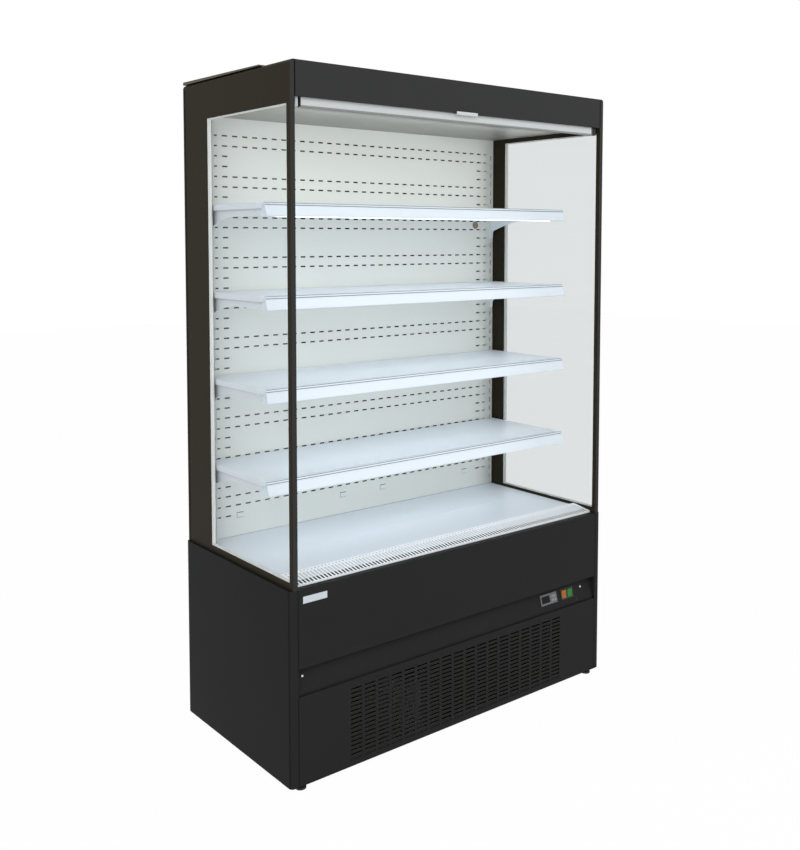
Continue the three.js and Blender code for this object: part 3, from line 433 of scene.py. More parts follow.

# ------------------------------------------------------------------ base side panels
# Steel sheet folded round the base's corners and powder coated black. The corner is bent to a 12 mm
# radius; the top turns inwards as a ledge for the end panels to stand on.

# The sides take a darker copy of the black powder coat than the front faces: painted shade.
side_shaded_paint = painted("black powder coat with painted shade on the sides", (32, 32, 32), 0.42, specular=0.03)
for side in ("left", "right"):
    panel = eased(f"base_side_panel_{side}", "folded", side_shaded_paint, 0.0007)
    two_toned(panel, base_paint, lambda face: face.normal.y < -0.5)

# ------------------------------------------------------------------ louvred front panel
# The lower front is one black sheet with eighteen ranks of seventeen slots over the condenser. A
# pressed blade stands behind each slot and sheds dust and splashes.

louvre_ranks = 18
louvre_rows = 17
louvre_pitch = (0.048, 0.0125)
louvre_slot = (0.0385, 0.0065)
louvre_corner = 0.0012
louvre_field_middle = 0.13525
louvre_blade = (0.0385, 0.0085, 0.0007)
louvre_tilt = 65.0
blade_setback = 0.0042
blade_drop = 0.0018
base_sheet = 0.0015


def geometry_tree(name, inputs):
    """An empty geometry tree with named inputs, ending in Realize Instances and Set Material."""
    tree, given, out = node_group(name, "GeometryNodeTree", [
        ("Geometry", "NodeSocketGeometry", None), *inputs, ("Material", "NodeSocketMaterial", None),
    ], [("Geometry", "NodeSocketGeometry")])
    coloured = wired(tree, "GeometryNodeSetMaterial", {"Material": given["Material"]})
    whole = wired(tree, "GeometryNodeRealizeInstances")
    tree.links.new(whole.outputs[0], coloured.inputs[0])
    tree.links.new(coloured.outputs[0], out.inputs[0])
    return tree, given, whole.inputs[0]


def ranked_points(tree, given):
    """Points in columns and rows about the origin of the XY plane, rows counted from the bottom."""
    def line(count, pitch, axis):
        reach = maths(tree, "MULTIPLY", maths(tree, "SUBTRACT", given[count], 1.0), given[pitch])
        start = flow(tree, "ShaderNodeCombineXYZ", {axis: maths(tree, "MULTIPLY", reach, -0.5)})
        step = flow(tree, "ShaderNodeCombineXYZ", {axis: given[pitch]})
        return flow(tree, "GeometryNodeMeshLine",
                    {"Count": given[count], "Start Location": start, "Offset": step})
    ranks = flow(tree, "GeometryNodeInstanceOnPoints", {
        "Points": line("Columns", "Column Pitch", "X"), "Instance": line("Rows", "Row Pitch", "Y"),
    })
    return flow(tree, "GeometryNodeRealizeInstances", {0: ranks})


RANKS = [
    ("Columns", "NodeSocketInt", 1), ("Rows", "NodeSocketInt", 1),
    ("Column Pitch", "NodeSocketFloat", 0.01), ("Row Pitch", "NodeSocketFloat", 0.01),
]


def punched_sheet_tree():
    """A flat sheet in the XY plane with ranks of round-cornered holes, and a hole for each loop of edges
    it is given. With Sparse Rows on, two rows in every four keep only the two outer holes at each end."""
    tree, given, made = geometry_tree("punched sheet", [
        ("Width", "NodeSocketFloat", 1.0), ("Height", "NodeSocketFloat", 1.0),
        ("Thickness", "NodeSocketFloat", 0.001), *RANKS,
        ("Hole Width", "NodeSocketFloat", 0.01), ("Hole Height", "NodeSocketFloat", 0.004),
        ("Corner Radius", "NodeSocketFloat", 0.001), ("Field Shift", "NodeSocketVector", (0, 0, 0)),
        ("Sparse Rows", "NodeSocketBool", False),
    ])
    blank = flow(tree, "GeometryNodeCurvePrimitiveQuadrilateral",
                 {"Width": given["Width"], "Height": given["Height"]})
    sharp_hole = flow(tree, "GeometryNodeCurvePrimitiveQuadrilateral",
                      {"Width": given["Hole Width"], "Height": given["Hole Height"]})
    hole = flow(tree, "GeometryNodeFilletCurve",
                {"Curve": sharp_hole, "Count": 4, "Radius": given["Corner Radius"]}, mode="POLY")
    points = ranked_points(tree, given)

    where = wired(tree, "ShaderNodeSeparateXYZ", {0: flow(tree, "GeometryNodeInputPosition")}).outputs
    half_rows = maths(tree, "MULTIPLY", maths(tree, "SUBTRACT", given["Rows"], 1.0), 0.5)
    rows_up = maths(tree, "DIVIDE", where["Y"], given["Row Pitch"])
    row = maths(tree, "ROUND", maths(tree, "SUBTRACT", half_rows, rows_up))
    late_row = maths(tree, "GREATER_THAN", maths(tree, "MODULO", row, 4.0), 1.5)
    kept_from = maths(tree, "SUBTRACT", maths(tree, "MULTIPLY", given["Columns"], 0.5), 2.0)
    columns_out = maths(tree, "ABSOLUTE", maths(tree, "DIVIDE", where["X"], given["Column Pitch"]))
    inner = maths(tree, "LESS_THAN", columns_out, kept_from)
    left_out = maths(tree, "MULTIPLY", maths(tree, "MULTIPLY", late_row, inner), given["Sparse Rows"])
    kept = flow(tree, "FunctionNodeBooleanMath", {0: left_out}, operation="NOT")

    holes = flow(tree, "GeometryNodeInstanceOnPoints",
                 {"Points": points, "Selection": kept, "Instance": hole})
    field = flow(tree, "GeometryNodeTransform", {0: holes, "Translation": given["Field Shift"]})
    loops = flow(tree, "GeometryNodeMeshToCurve", {0: given["Geometry"]})
    outlines = wired(tree, "GeometryNodeJoinGeometry")
    for curve in (loops, field, blank):
        tree.links.new(curve, outlines.inputs[0])
    curves = flow(tree, "GeometryNodeRealizeInstances", {0: outlines.outputs[0]})
    face = flow(tree, "GeometryNodeFillCurve", {0: curves})
    raised = flow(tree, "GeometryNodeExtrudeMesh",
                  {"Mesh": face, "Offset Scale": given["Thickness"], "Individual": False})
    back = flow(tree, "GeometryNodeFlipFaces", {0: face})
    both = wired(tree, "GeometryNodeJoinGeometry")
    for half in (raised, back):
        tree.links.new(half, both.inputs[0])
    solid = flow(tree, "GeometryNodeMergeByDistance", {0: both.outputs[0], "Distance": 0.00001})
    tree.links.new(solid, made)
    return tree


def ranked_plates_tree():
    """Ranks of flat plates in the XY plane, each tipped about X."""
    tree, given, made = geometry_tree("ranks of plates", [
        *RANKS, ("Plate Size", "NodeSocketVector", (0.01, 0.01, 0.001)), ("Tilt", "NodeSocketFloat", 0.0),
    ])
    plate = flow(tree, "GeometryNodeMeshCube", {"Size": given["Plate Size"]})
    angles = flow(tree, "ShaderNodeCombineXYZ", {"X": maths(tree, "RADIANS", given["Tilt"])})
    plates = flow(tree, "GeometryNodeInstanceOnPoints",
                  {"Points": ranked_points(tree, given), "Instance": plate, "Rotation": angles})
    tree.links.new(plates, made)
    return tree


def from_tree(tree, material, start=None, **values):
    """What a geometry tree makes with these values and this material, as a plain mesh."""
    piece = bpy.data.objects.new("making", start or bpy.data.meshes.new("making"))
    modifier = piece.modifiers.new("make", "NODES")
    modifier.node_group = tree
    sockets = {item.name: item.identifier for item in tree.interface.items_tree if item.in_out == "INPUT"}
    modifier[sockets["Material"]] = material
    for label, value in values.items():
        modifier[sockets[label.replace("_", " ").title()]] = value
    scene.collection.objects.link(piece)
    mesh = bpy.data.meshes.new_from_object(piece.evaluated_get(bpy.context.evaluated_depsgraph_get()))
    bpy.data.objects.remove(piece)
    return mesh


def standing(x, y, z):
    """A place for a flat sheet to stand facing the front, its middle at this point."""
    return Matrix.Translation((x, y, z)) @ Matrix.Rotation(math.radians(90), 4, "X")


def block(low, high):
    """A rectangular bar between two corners."""
    work = bmesh.new()
    bmesh.ops.create_cube(work, size=1.0)
    size = [b - a for a, b in zip(low, high)]
    middle = [(a + b) / 2 for a, b in zip(low, high)]
    place = Matrix.Translation(middle) @ Matrix.Diagonal((*size, 1))
    bmesh.ops.transform(work, matrix=place, verts=work.verts)
    return as_mesh(work, "block")


punched_sheet = punched_sheet_tree()
ranked_plates = ranked_plates_tree()
# The blades are painted lighter than the sheet: painted light for what reaches them through the slots.
blade_lightened_paint = painted("black blades with painted light", (90, 87, 80), 0.6, specular=0.1)
louvre_field = {"columns": louvre_ranks, "rows": louvre_rows,
                "column_pitch": louvre_pitch[0], "row_pitch": louvre_pitch[1]}
low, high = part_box("louvred_front_panel")
panel_middle = (low.z + high.z) / 2
sheet_back = low.y + base_sheet
sheet_face = from_tree(
    punched_sheet, base_paint, width=high.x - low.x, height=high.z - low.z, thickness=base_sheet,
    hole_width=louvre_slot[0], hole_height=louvre_slot[1], corner_radius=louvre_corner,
    field_shift=(0, louvre_field_middle - panel_middle, 0), **louvre_field)
blades = from_tree(ranked_plates, blade_lightened_paint, plate_size=louvre_blade, tilt=louvre_tilt, **louvre_field)
blade_place = standing(0, sheet_back + blade_setback, louvre_field_middle - louvre_slot[1] / 2 - blade_drop)
fold = block((low.x, sheet_back, high.z - base_sheet), high)
mesh = joined(
    (sheet_face, base_paint, standing(0, sheet_back, panel_middle)), (blades, blade_lightened_paint, blade_place),
    (fold, base_paint))
fitted("louvred_panel_pressed", mesh, "cabinet", ["louvred_front_panel"])

# ------------------------------------------------------------------ upper front panel and name plate
# The plain sheet above the control strip, folded over at the top as the black ledge before the air
# grille. Black sealant closes the joints at the ends of both front panels, and a blank plate of satin
# aluminium is stuck to the upper one.

plate_low = (-0.584, -0.29765, 0.516)
plate_high = (-0.506, -0.29705, 0.535)
joint_width = 0.0022
joint_strip_proud = 0.0001
bead_depth = 0.003


def bar_of(name, low, high, material, body="cabinet", edge=0.0):
    """A finished rectangular bar between two corners."""
    return fitted(name, block(low, high), body, material=material, edge=edge)


def end_joint_strips(name, node, width, depth):
    """A black strip down the joint at each end of a frame node: sealant at the front panels, painted shadow
    at the canopy.
    """
    low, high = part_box(node)
    for side, end in (("left", low.x), ("right", high.x)):
        near = (end - width / 2, low.y - joint_strip_proud, low.z)
        far = (end + width / 2, low.y + depth, high.z - 0.001)
        bar_of(f"{name}_{side}", near, far, sealant_and_shade_black)


def brushed_metal():
    """Shader group: the long fine scratches of brushed metal, drawn out along X."""
    tree, given, out = finish_group("brushed metal", {"Roughness": 0.35, "Scratches per Metre": 2500.0})
    along = flow(tree, "ShaderNodeVectorMath", {0: given["Place"], 1: (0.02, 1.0, 1.0)}, operation="MULTIPLY")
    noise = flow(tree, "ShaderNodeTexNoise",
                 {"Vector": along, "Scale": given["Scratches per Metre"], "Detail": 2.0})
    tone = maths(tree, "MULTIPLY_ADD", noise, 0.16, 0.92)
    shine = maths(tree, "MULTIPLY_ADD", noise, 0.15, given["Roughness"])
    return led_out(tree, out, toned(tree, given["Colour"], tone), shine, noise)


def metal(name, swatch, roughness, relief=0.000005, metallic=1.0):
    """A brushed or drawn metal of a colour given in screen values."""
    values = {"Colour": tint(*swatch), "Roughness": roughness}
    return finish_of(name, brush, values, relief, metallic=metallic)


brush = brushed_metal()
# One black serves the sealant in the joints and the strips of painted shade at the canopy and grille.
sealant_and_shade_black = painted("black sealant and painted shade", (13, 13, 13), 0.6, specular=0.05)
satin_plate = metal("satin aluminium plate", (206, 212, 220), 0.4, relief=0.00001, metallic=0.35)
eased("upper_front_panel", "folded", base_paint, 0.0006)
end_joint_strips("front_joint_bead_upper", "upper_front_panel", joint_width, bead_depth)
end_joint_strips("front_joint_bead_lower", "louvred_front_panel", joint_width, bead_depth)
bar_of("blank_name_plate", plate_low, plate_high, satin_plate, edge=0.0002)

# ------------------------------------------------------------------ control strip
# A folded black strip whose face leans back between the two front panels, held by a bright screw near
# each end. It carries the controller and the switches.

strip_low = Vector((0, -0.291, 0.268))
strip_high = Vector((0, -0.273, 0.3387))
strip_screws = [(-0.577, 0.311), (0.545, 0.310)]
strip_screw_head = (0.0036, 0.0019)
strip_hem = ((-0.2905, 0.2623), (-0.2895, 0.2683))
hem_inset = 0.002


def ranked_screws_tree():
    """Ranks of domed screw heads, each with a six-sided socket."""
    tree, given, made = geometry_tree("ranks of screws", [
        *RANKS, ("Head Radius", "NodeSocketFloat", 0.004), ("Head Height", "NodeSocketFloat", 0.002),
    ])
    ball = flow(tree, "GeometryNodeMeshUVSphere",
                {"Segments": 20, "Rings": 10, "Radius": given["Head Radius"]})
    squat = maths(tree, "DIVIDE", given["Head Height"], given["Head Radius"])
    scale = flow(tree, "ShaderNodeCombineXYZ", {"X": 1.0, "Y": 1.0, "Z": squat})
    dome = flow(tree, "GeometryNodeTransform", {0: ball, "Scale": scale})
    key = maths(tree, "MULTIPLY", given["Head Radius"], 0.45)
    socket = flow(tree, "GeometryNodeMeshCylinder",
                  {"Vertices": 6, "Radius": key, "Depth": given["Head Height"]})
    lift = flow(tree, "ShaderNodeCombineXYZ", {"Z": given["Head Height"]})
    raised = flow(tree, "GeometryNodeTransform", {0: socket, "Translation": lift})
    head = wired(tree, "GeometryNodeMeshBoolean", operation="DIFFERENCE")
    tree.links.new(dome, head.inputs[0])
    tree.links.new(raised, head.inputs[1])
    heads = flow(tree, "GeometryNodeInstanceOnPoints",
                 {"Points": ranked_points(tree, given), "Instance": head.outputs[0]})
    tree.links.new(heads, made)
    return tree


def screw_heads(name, places, radius, height, **ranks):
    """Bright screw heads at each of these places: one, or ranks of them."""
    heads = from_tree(ranked_screws, bright_zinc, head_radius=radius, head_height=height, **ranks)
    fitted(name, joined(*((heads, bright_zinc, place) for place in places)), "cabinet")


def on_strip(x, rise):
    """A place on the strip's leaning face: x along it, rise from 0 at its foot to 1 at its top."""
    up = (strip_high - strip_low).normalized()
    out = Vector((1, 0, 0)).cross(up)
    turn = Matrix((Vector((1, 0, 0)), up, out)).transposed().to_4x4()
    middle = strip_low.lerp(strip_high, rise)
    return Matrix.Translation((x, middle.y, middle.z)) @ turn


ranked_screws = ranked_screws_tree()
bright_zinc = metal("bright zinc plate", (215, 216, 214), 0.22)
eased("control_strip", "folded", base_paint, 0.0005)
low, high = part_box("control_strip")
hem_low, hem_high = ((end, *place) for end, place in zip((low.x + hem_inset, high.x - hem_inset), strip_hem))
bar_of("control_strip_hem", hem_low, hem_high, base_paint, edge=0.0002)
places = [on_strip(x, (z - strip_low.z) / (strip_high.z - strip_low.z)) for x, z in strip_screws]
screw_heads("strip_screws", places, *strip_screw_head)

# ------------------------------------------------------------------ temperature controller
# A small panel controller: a grey moulded bezel round a dark window, with two grey rubber keys on the
# right. The window is clear acrylic over an unlit display.

controller_x = 0.387
window_size = (0.0372, 0.0214)
window_shift = -0.0147
window_depths = (0.0021, 0.0028)
bezel_grey = painted("grey moulded bezel", (98, 99, 101), 0.5, specular=0.4)
key_grey = painted("grey rubber key", (134, 134, 140), 0.6, relief=0.00004, specular=0.3)
window_black = painted("dark display window", (6, 6, 7), 0.25, relief=0.000002, specular=0.15, clouding=0.3)
eased("controller_housing", "moulded", bezel_grey, 0.0009, 3)
for row in ("upper", "lower"):
    eased(f"controller_key_{row}", "moulded", key_grey, 0.0012, 3)
half_width, half_height = window_size[0] / 2, window_size[1] / 2
pane = block((-half_width, -half_height, window_depths[0]), (half_width, half_height, window_depths[1]))
mesh = joined((pane, window_black, on_strip(controller_x + window_shift, 0.5)))
fitted("controller_window", mesh, "cabinet", edge=0.0002)

# ------------------------------------------------------------------ rocker switches
# Two rockers side by side in one black frame, amber for the lamp and green for the plant. Each is a
# clear coloured moulding with a lamp behind it.

amber = (160, 100, 36)
green = (38, 122, 42)
rocker_glow = 0.06
eased("switch_frame", "moulded", black_plastic, 0.0006)
for side, swatch, slot in (("left", amber, "rocker_orange"), ("right", green, "rocker_green")):
    moulding = painted(f"{slot} clear moulding", swatch, 0.25, relief=0.00001, specular=0.2, clouding=0.2,
                       emission_color=tint(*swatch), emission_strength=rocker_glow)
    eased(f"rocker_switch_{side}", "moulded", moulding, 0.0011, 3)

# ------------------------------------------------------------------ base rear cover
# The cover over the plant at the back: black sheet with two ranks of cooling slots, a ring of screws
# and a moulded gland where the supply lead would enter.

screw_line_middle = 0.18
screw_setback = 0.004
cover_screw_pitch = (0.29, 0.31)
panel_screw_head = (0.0045, 0.002)
eased("base_rear_cover", "folded", base_paint, 0.0004)


def facing_back(y, z):
    """A place for a flat sheet to stand facing the back, its middle at this point."""
    return Matrix.Translation((0, y, z)) @ Matrix.Rotation(math.radians(-90), 4, "X")


cover_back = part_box("base_rear_cover")[1].y - screw_setback
screw_heads("cover_screws", [facing_back(cover_back, screw_line_middle)], *panel_screw_head,
            columns=5, rows=2, column_pitch=cover_screw_pitch[0], row_pitch=cover_screw_pitch[1])

# ------------------------------------------------------------------ cooling plant
# A hermetic compressor in black enamel, a condenser of black-enamelled fins and tube with its fan in a
# galvanised shroud, the copper line between them, and the tray that evaporates the defrost water. The
# condenser's tube is black instead of copper as painted shade behind the louvres.

enamel = painted("black enamel", (30, 31, 33), 0.36, relief=0.00004, specular=0.4, clouding=0.2)
copper = metal("drawn copper", (190, 118, 82), 0.28)
fin_thickness = 0.0004
fin_inset = (0.004, 0.010)
coil_plate = 0.0015
coil_plate_inset = 0.012
coil_lift = 0.004
tube_radius = 0.0045
tube_inset = 0.009
tube_offset = 0.014
eased("compressor", "welded", enamel, 0.0015, 2, 28)
eased("refrigerant_pipe", "bent", copper, sharp=60)
eased("evaporation_tray", "moulded", black_plastic, 0.0008)
eased("condenser_fan_frame", "pressed", galvanised)
eased("condenser_fan", "moulded", black_plastic, 0.0006)


def rod(radius, start, end, steps):
    """A plain rod along Z between two heights."""
    return turned([(0, start), (radius, start), (radius, end), (0, end)], steps)


def lying(y, z):
    """A place for a turned piece to lie along X, its axis at this depth and height."""
    return Matrix.Translation((0, y, z)) @ Matrix.Rotation(math.radians(90), 4, "Y")


def coil(node, name, material, tube_metal, bends, fin_pitch):
    """A finished coil: thin fins between two end plates, with tube run through them."""
    low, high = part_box(node)
    middle = (low + high) / 2
    plates = (low.x + coil_plate_inset, high.x - coil_plate_inset)
    fins = from_tree(
        ranked_plates, material, columns=int((plates[1] - plates[0]) / fin_pitch), column_pitch=fin_pitch,
        plate_size=(fin_thickness, high.y - low.y - fin_inset[0], high.z - low.z - fin_inset[1]))
    parts = [(fins, material, Matrix.Translation((middle.x, middle.y, middle.z + coil_lift)))]
    for x in plates:
        plate = block((x - coil_plate / 2, low.y, low.z), (x + coil_plate / 2, high.y, high.z))
        parts.append((plate, galvanised))
    run = rod(tube_radius, low.x + tube_inset, high.x - tube_inset, 12)
    rise = (high.z - low.z) / (2 * bends)
    for row in range(2 * bends):
        for y in (middle.y - tube_offset, middle.y + tube_offset):
            parts.append((run, tube_metal, lying(y, low.z + (row + 0.5) * rise)))
    fitted(name, joined(*parts), "cabinet", [node])


# The condenser's tube takes black enamel instead of copper: painted shade behind the louvres.
coil("condenser_coil", "condenser_fins_and_tube", enamel, enamel, bends=4, fin_pitch=0.0042)

# ------------------------------------------------------------------ insulated tub, evaporator and fan
# The tub under the deck is moulded in white ABS over foam. In it stand the evaporator, aluminium fins
# on copper tube, and the fan that draws air in through the front grille and up behind the back panel.

tub_white = painted("white tub plastic", (214, 220, 222), 0.4, specular=0.4)
fin_metal = metal("fin stock", (196, 200, 204), 0.35, metallic=0.9)
eased("evaporator_tub", "moulded", tub_white)
coil("evaporator_coil", "evaporator_fins_and_tube", fin_metal, copper, bends=3,
     fin_pitch=0.0065)
eased("evaporator_fan", "moulded", black_plastic, 0.0006)

# ------------------------------------------------------------------ insulated rear wall
# A foam-filled steel wall between the end panels, painted dark outside, with a line of rivets down
# each edge of its back.

rivet_rows = 13
rivet_side_inset = 0.015
rivet_end_inset = 0.18
rivet_lift = 0.1
rivet_head = (0.0032, 0.0012)
panel_paint = painted("brown-black powder coat", (46, 41, 32), 0.4, specular=0.03)
eased("insulated_rear_wall", "foamed", panel_paint, 0.0008)
low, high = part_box("insulated_rear_wall")
screw_heads("rear_wall_rivets", [facing_back(high.y, (low.z + high.z) / 2 + rivet_lift)], *rivet_head,
            columns=2, column_pitch=high.x - low.x - 2 * rivet_side_inset,
            rows=rivet_rows, row_pitch=(high.z - low.z - 2 * rivet_end_inset) / (rivet_rows - 1))

# ------------------------------------------------------------------ end panels
# Each end is a hollow steel frame round the glass: a slim front post, a wide rear post and a header,
# powder coated brown-black, with a charcoal front face. The outer top edge is rolled over, and a bead
# of sealant runs down near the rear edge.

top_roll = 0.012
roll_steps = 6
rear_bead = (0.0135, 0.0075)
post_paint = painted("charcoal front face", (55, 55, 54), 0.42, specular=0.03)
panel_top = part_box("end_panel_left")[1].z


def rolled_top(node, turn, radius):
    """A frame node's mesh with its outer top edge cut to a radius by planes that touch the arc."""
    work = bmesh.new()
    work.from_mesh(merged(node))
    out = max(abs(vertex.co.x) for vertex in work.verts)
    centre = Vector((turn * (out - radius), 0, panel_top - radius))
    for step in range(1, roll_steps):
        angle = math.radians(90 * step / roll_steps)
        normal = Vector((turn * math.cos(angle), 0, math.sin(angle)))
        cut = bmesh.ops.bisect_plane(
            work, geom=[*work.verts, *work.edges, *work.faces], plane_co=centre + normal * radius,
            plane_no=normal, clear_outer=True)
        rim = [item for item in cut["geom_cut"] if isinstance(item, bmesh.types.BMEdge)]
        bmesh.ops.holes_fill(work, edges=rim)
    return as_mesh(work, node)


for side, turn in (("left", -1), ("right", 1)):
    node = f"end_panel_{side}"
    mesh = rolled_top(node, turn, top_roll)
    panel = fitted(f"{node}_folded", mesh, "cabinet", [node], panel_paint, 0.0009, 3)
    two_toned(panel, post_paint, lambda face: face.normal.y < -0.9)
    low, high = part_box(node)
    edge = turn * max(abs(low.x), abs(high.x))
    near, far = sorted((edge - turn * 0.0005, edge + turn * joint_strip_proud))
    bar_of(f"rear_joint_bead_{side}", (near, high.y - rear_bead[0], low.z + 0.001),
           (far, high.y - rear_bead[1], high.z - 0.014), sealant_and_shade_black)

# ------------------------------------------------------------------ side glass
# Sealed double glazing in each end panel: two panes of glass on a bright spacer bar that runs round
# the whole edge, with bright tape over it. The right-hand glass is tinted greyer as painted shade.

pane_thickness = 0.004
spacer_width = 0.003
spacer_gap = 0.0002
tape_inset = 0.0003
tape_thickness = 0.0002
glass_mirror = 0.03
# The greyer right-hand tint is painted shade.
glass_tints_and_shade = {"left": (0.996, 0.999, 1.0, 1), "right": (0.929, 0.936, 0.936, 1)}


def float_glass(side):
    """Clear glass, faintly tinted, with a thin mirror image that grows towards a glancing view."""
    material = bpy.data.materials.new(f"clear float glass {side}")
    material.use_nodes = True
    tree = material.node_tree
    mirror = tree.nodes["Principled BSDF"]
    mirror.inputs["Metallic"].default_value = 1.0
    mirror.inputs["Roughness"].default_value = 0.0
    mirror.inputs["Base Color"].default_value = (1, 1, 1, 1)
    through = flow(tree, "ShaderNodeBsdfTransparent", {"Color": glass_tints_and_shade[side]})
    glance = wired(tree, "ShaderNodeLayerWeight").outputs["Facing"]
    share = maths(tree, "MULTIPLY", glance, glass_mirror)
    mixed = flow(tree, "ShaderNodeMixShader", {0: share, 1: through, 2: mirror.outputs[0]})
    tree.links.new(mixed, tree.nodes["Material Output"].inputs["Surface"])
    return material


spacer_metal = painted("bright spacer bar", (222, 224, 220), 0.4, relief=0.00001)
for side in ("left", "right"):
    clear_glass = float_glass(side)
    node = f"side_glass_{side}"
    low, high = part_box(node)
    panes = [block(low, (low.x + pane_thickness, high.y, high.z)),
             block((high.x - pane_thickness, low.y, low.z), high)]
    mesh = joined(*((pane, clear_glass) for pane in panes))
    fitted(f"glass_panes_{side}", mesh, "cabinet", [node], clear_glass, 0.0004)
    bar = (low.x + pane_thickness + spacer_gap, high.x - pane_thickness - spacer_gap)
    tape = (low.x + tape_inset, high.x - tape_inset)
    inner_low, inner_high = low.z + spacer_width, high.z - spacer_width
    frames = [  # span along X, then low and high corner in Y and Z
        (bar, (low.y, low.z), (high.y, inner_low)), (bar, (low.y, inner_high), (high.y, high.z)),
        (bar, (low.y, inner_low), (low.y + spacer_width, inner_high)),
        (bar, (high.y - spacer_width, inner_low), (high.y, inner_high)),
        (tape, (high.y, low.z), (high.y + tape_thickness, high.z)),
        (tape, (low.y - tape_thickness, low.z), (low.y, high.z)),
        (tape, (low.y, high.z), (high.y, high.z + tape_thickness)),
        (tape, (low.y, low.z - tape_thickness), (high.y, low.z)),
    ]
    bars = [(block((span[0], *start), (span[1], *end)), spacer_metal) for span, start, end in frames]
    fitted(f"glass_spacer_{side}", joined(*bars), "cabinet", material=spacer_metal)

# ------------------------------------------------------------------ canopy
# The header box: a charcoal fascia across the front with black strips down the joints at its ends as
# painted shadow, and a roof of black sheet whose raised lid, in olive grey, covers the wiring.

lid_step = 0.0003
canopy_shadow_width = 0.004
canopy_shadow_depth = 0.004
fascia_paint = painted("charcoal powder coat", (54, 54, 54), 0.42, specular=0.03)
lid_paint = painted("olive grey powder coat", (94, 89, 77), 0.45, specular=0.1)
eased("canopy_fascia", "folded", fascia_paint, 0.0006)
roof = eased("canopy_roof", "folded", base_paint, 0.0008)
two_toned(roof, lid_paint, lambda face: face.center.z > panel_top + lid_step or abs(face.normal.x) > 0.9)
# The black strips at the fascia's ends are painted shadow in the joints to the end panels.
end_joint_strips("canopy_joint_shadow", "canopy_fascia", canopy_shadow_width, canopy_shadow_depth)

# ------------------------------------------------------------------ ceiling panel
# Grey-white steel sheet under the canopy, with the row of slots at its front edge that blow the cold
# air curtain down.

ceiling_grey = painted("grey-white powder coat", (144, 145, 139), 0.4, relief=0.00002, specular=0.3)
eased("ceiling_panel", "folded", ceiling_grey, 0.0005)

# ------------------------------------------------------------------ lamp
# A slim tube lamp behind the fascia under an opal cover, lighting the shelves from the front.

lamp_strength = 0.5
opal = painted("opal lamp cover", (248, 250, 255), 0.38, relief=0.00001,
               emission_color=(0.95, 0.98, 1, 1), emission_strength=lamp_strength)
eased("lamp_tube", "moulded", opal, 0.0008)

# ------------------------------------------------------------------ perforated back panel
# White sheet between the uprights, punched with rows of short slots for the cold air, in twos with two
# rows of end slots between them. Four lanced tabs near the bottom hold it, and a grey cap fills a spare
# hole.

back_rows = 39
back_columns = 33
back_pitch = (0.035, 0.0307)
back_slot = (0.019, 0.0045)
back_corner = 0.0018
back_top_row = 1.799
back_sheet = 0.0012
tab_places = (-0.484, -0.091, 0.078, 0.459)
tab_height = 0.631
tab_size = (0.024, 0.017)
tab_cut = (0.0018, 0.0022, 0.0010)
cap_place = (0.510, 1.539)
cap_profile = [(0, 0), (0.0135, 0), (0.0135, 0.0008), (0.0125, 0.0016), (0, 0.0019)]
back_white = painted("white back panel paint", (228, 231, 226), 0.38, relief=0.00002, specular=0.4,
                     clouding=0.03)
cap_grey = painted("grey cap", (140, 122, 106), 0.5)
low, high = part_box("back_panel")
middle = (low.z + high.z) / 2
field_middle = back_top_row - (back_rows - 1) / 2 * back_pitch[1]
side, over, under = tab_cut
foot, head = tab_height - middle - tab_size[1] / 2, tab_height - middle + tab_size[1] / 2
tab_points, tab_edges = [], []
for x in tab_places:
    left, right = x - tab_size[0] / 2, x + tab_size[0] / 2
    line = [
        (left, head), (right, head), (right, head - over), (left + side, head - over),
        (left + side, foot + under), (right, foot + under), (right, foot), (left, foot),
    ]
    first = len(tab_points)
    tab_points += [(*point, 0) for point in line]
    tab_edges += [(first + i, first + (i + 1) % len(line)) for i in range(len(line))]
tab_outlines = bpy.data.meshes.new("tab outlines")
tab_outlines.from_pydata(tab_points, tab_edges, [])
sheet_face = from_tree(
    punched_sheet, back_white, start=tab_outlines,
    width=high.x - low.x, height=high.z - low.z, thickness=back_sheet,
    columns=back_columns, rows=back_rows, column_pitch=back_pitch[0], row_pitch=back_pitch[1],
    hole_width=back_slot[0], hole_height=back_slot[1], corner_radius=back_corner,
    field_shift=(0, field_middle - middle, 0), sparse_rows=True)
returns = [
    (block((x, low.y + back_sheet, low.z), (x + back_sheet, high.y, high.z)), back_white)
    for x in (low.x, high.x - back_sheet)
]
mesh = joined((sheet_face, back_white, standing(0, low.y + back_sheet, middle)), *returns)
fitted("back_panel_punched", mesh, "cabinet", ["back_panel"])
cap_at = standing(cap_place[0], low.y, cap_place[1])
fitted("back_panel_cap", joined((turned(cap_profile), cap_grey, cap_at)), "cabinet")

# ------------------------------------------------------------------ slotted uprights
# Two white channels at the back corners, each with a column of tall slots that take the hooks of the
# shelf brackets at any height. A white trim covers the outer edge of each, and a screw holds the left one.

trim_span = (0.5922, 0.5998)
trim_depths = (0.0010, 0.0025)
trim_foot = 0.012
upright_screw = (-0.5685, 0.678)
for side, turn in (("left", -1), ("right", 1)):
    eased(f"upright_{side}", "rolled", back_white)
    low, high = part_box(f"upright_{side}")
    near, far = sorted(turn * end for end in trim_span)
    bar_of(f"upright_edge_trim_{side}", (near, low.y + trim_depths[0], low.z + trim_foot),
           (far, low.y + trim_depths[1], high.z), back_white)
place = standing(upright_screw[0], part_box("upright_left")[0].y, upright_screw[1])
screw_heads("upright_screw", [place], *panel_screw_head)

# ------------------------------------------------------------------ deck
# The bottom display deck: white pans that lift out, butted at a fine seam. A grey strip along the
# joint to the back panel is painted shade in the crease.

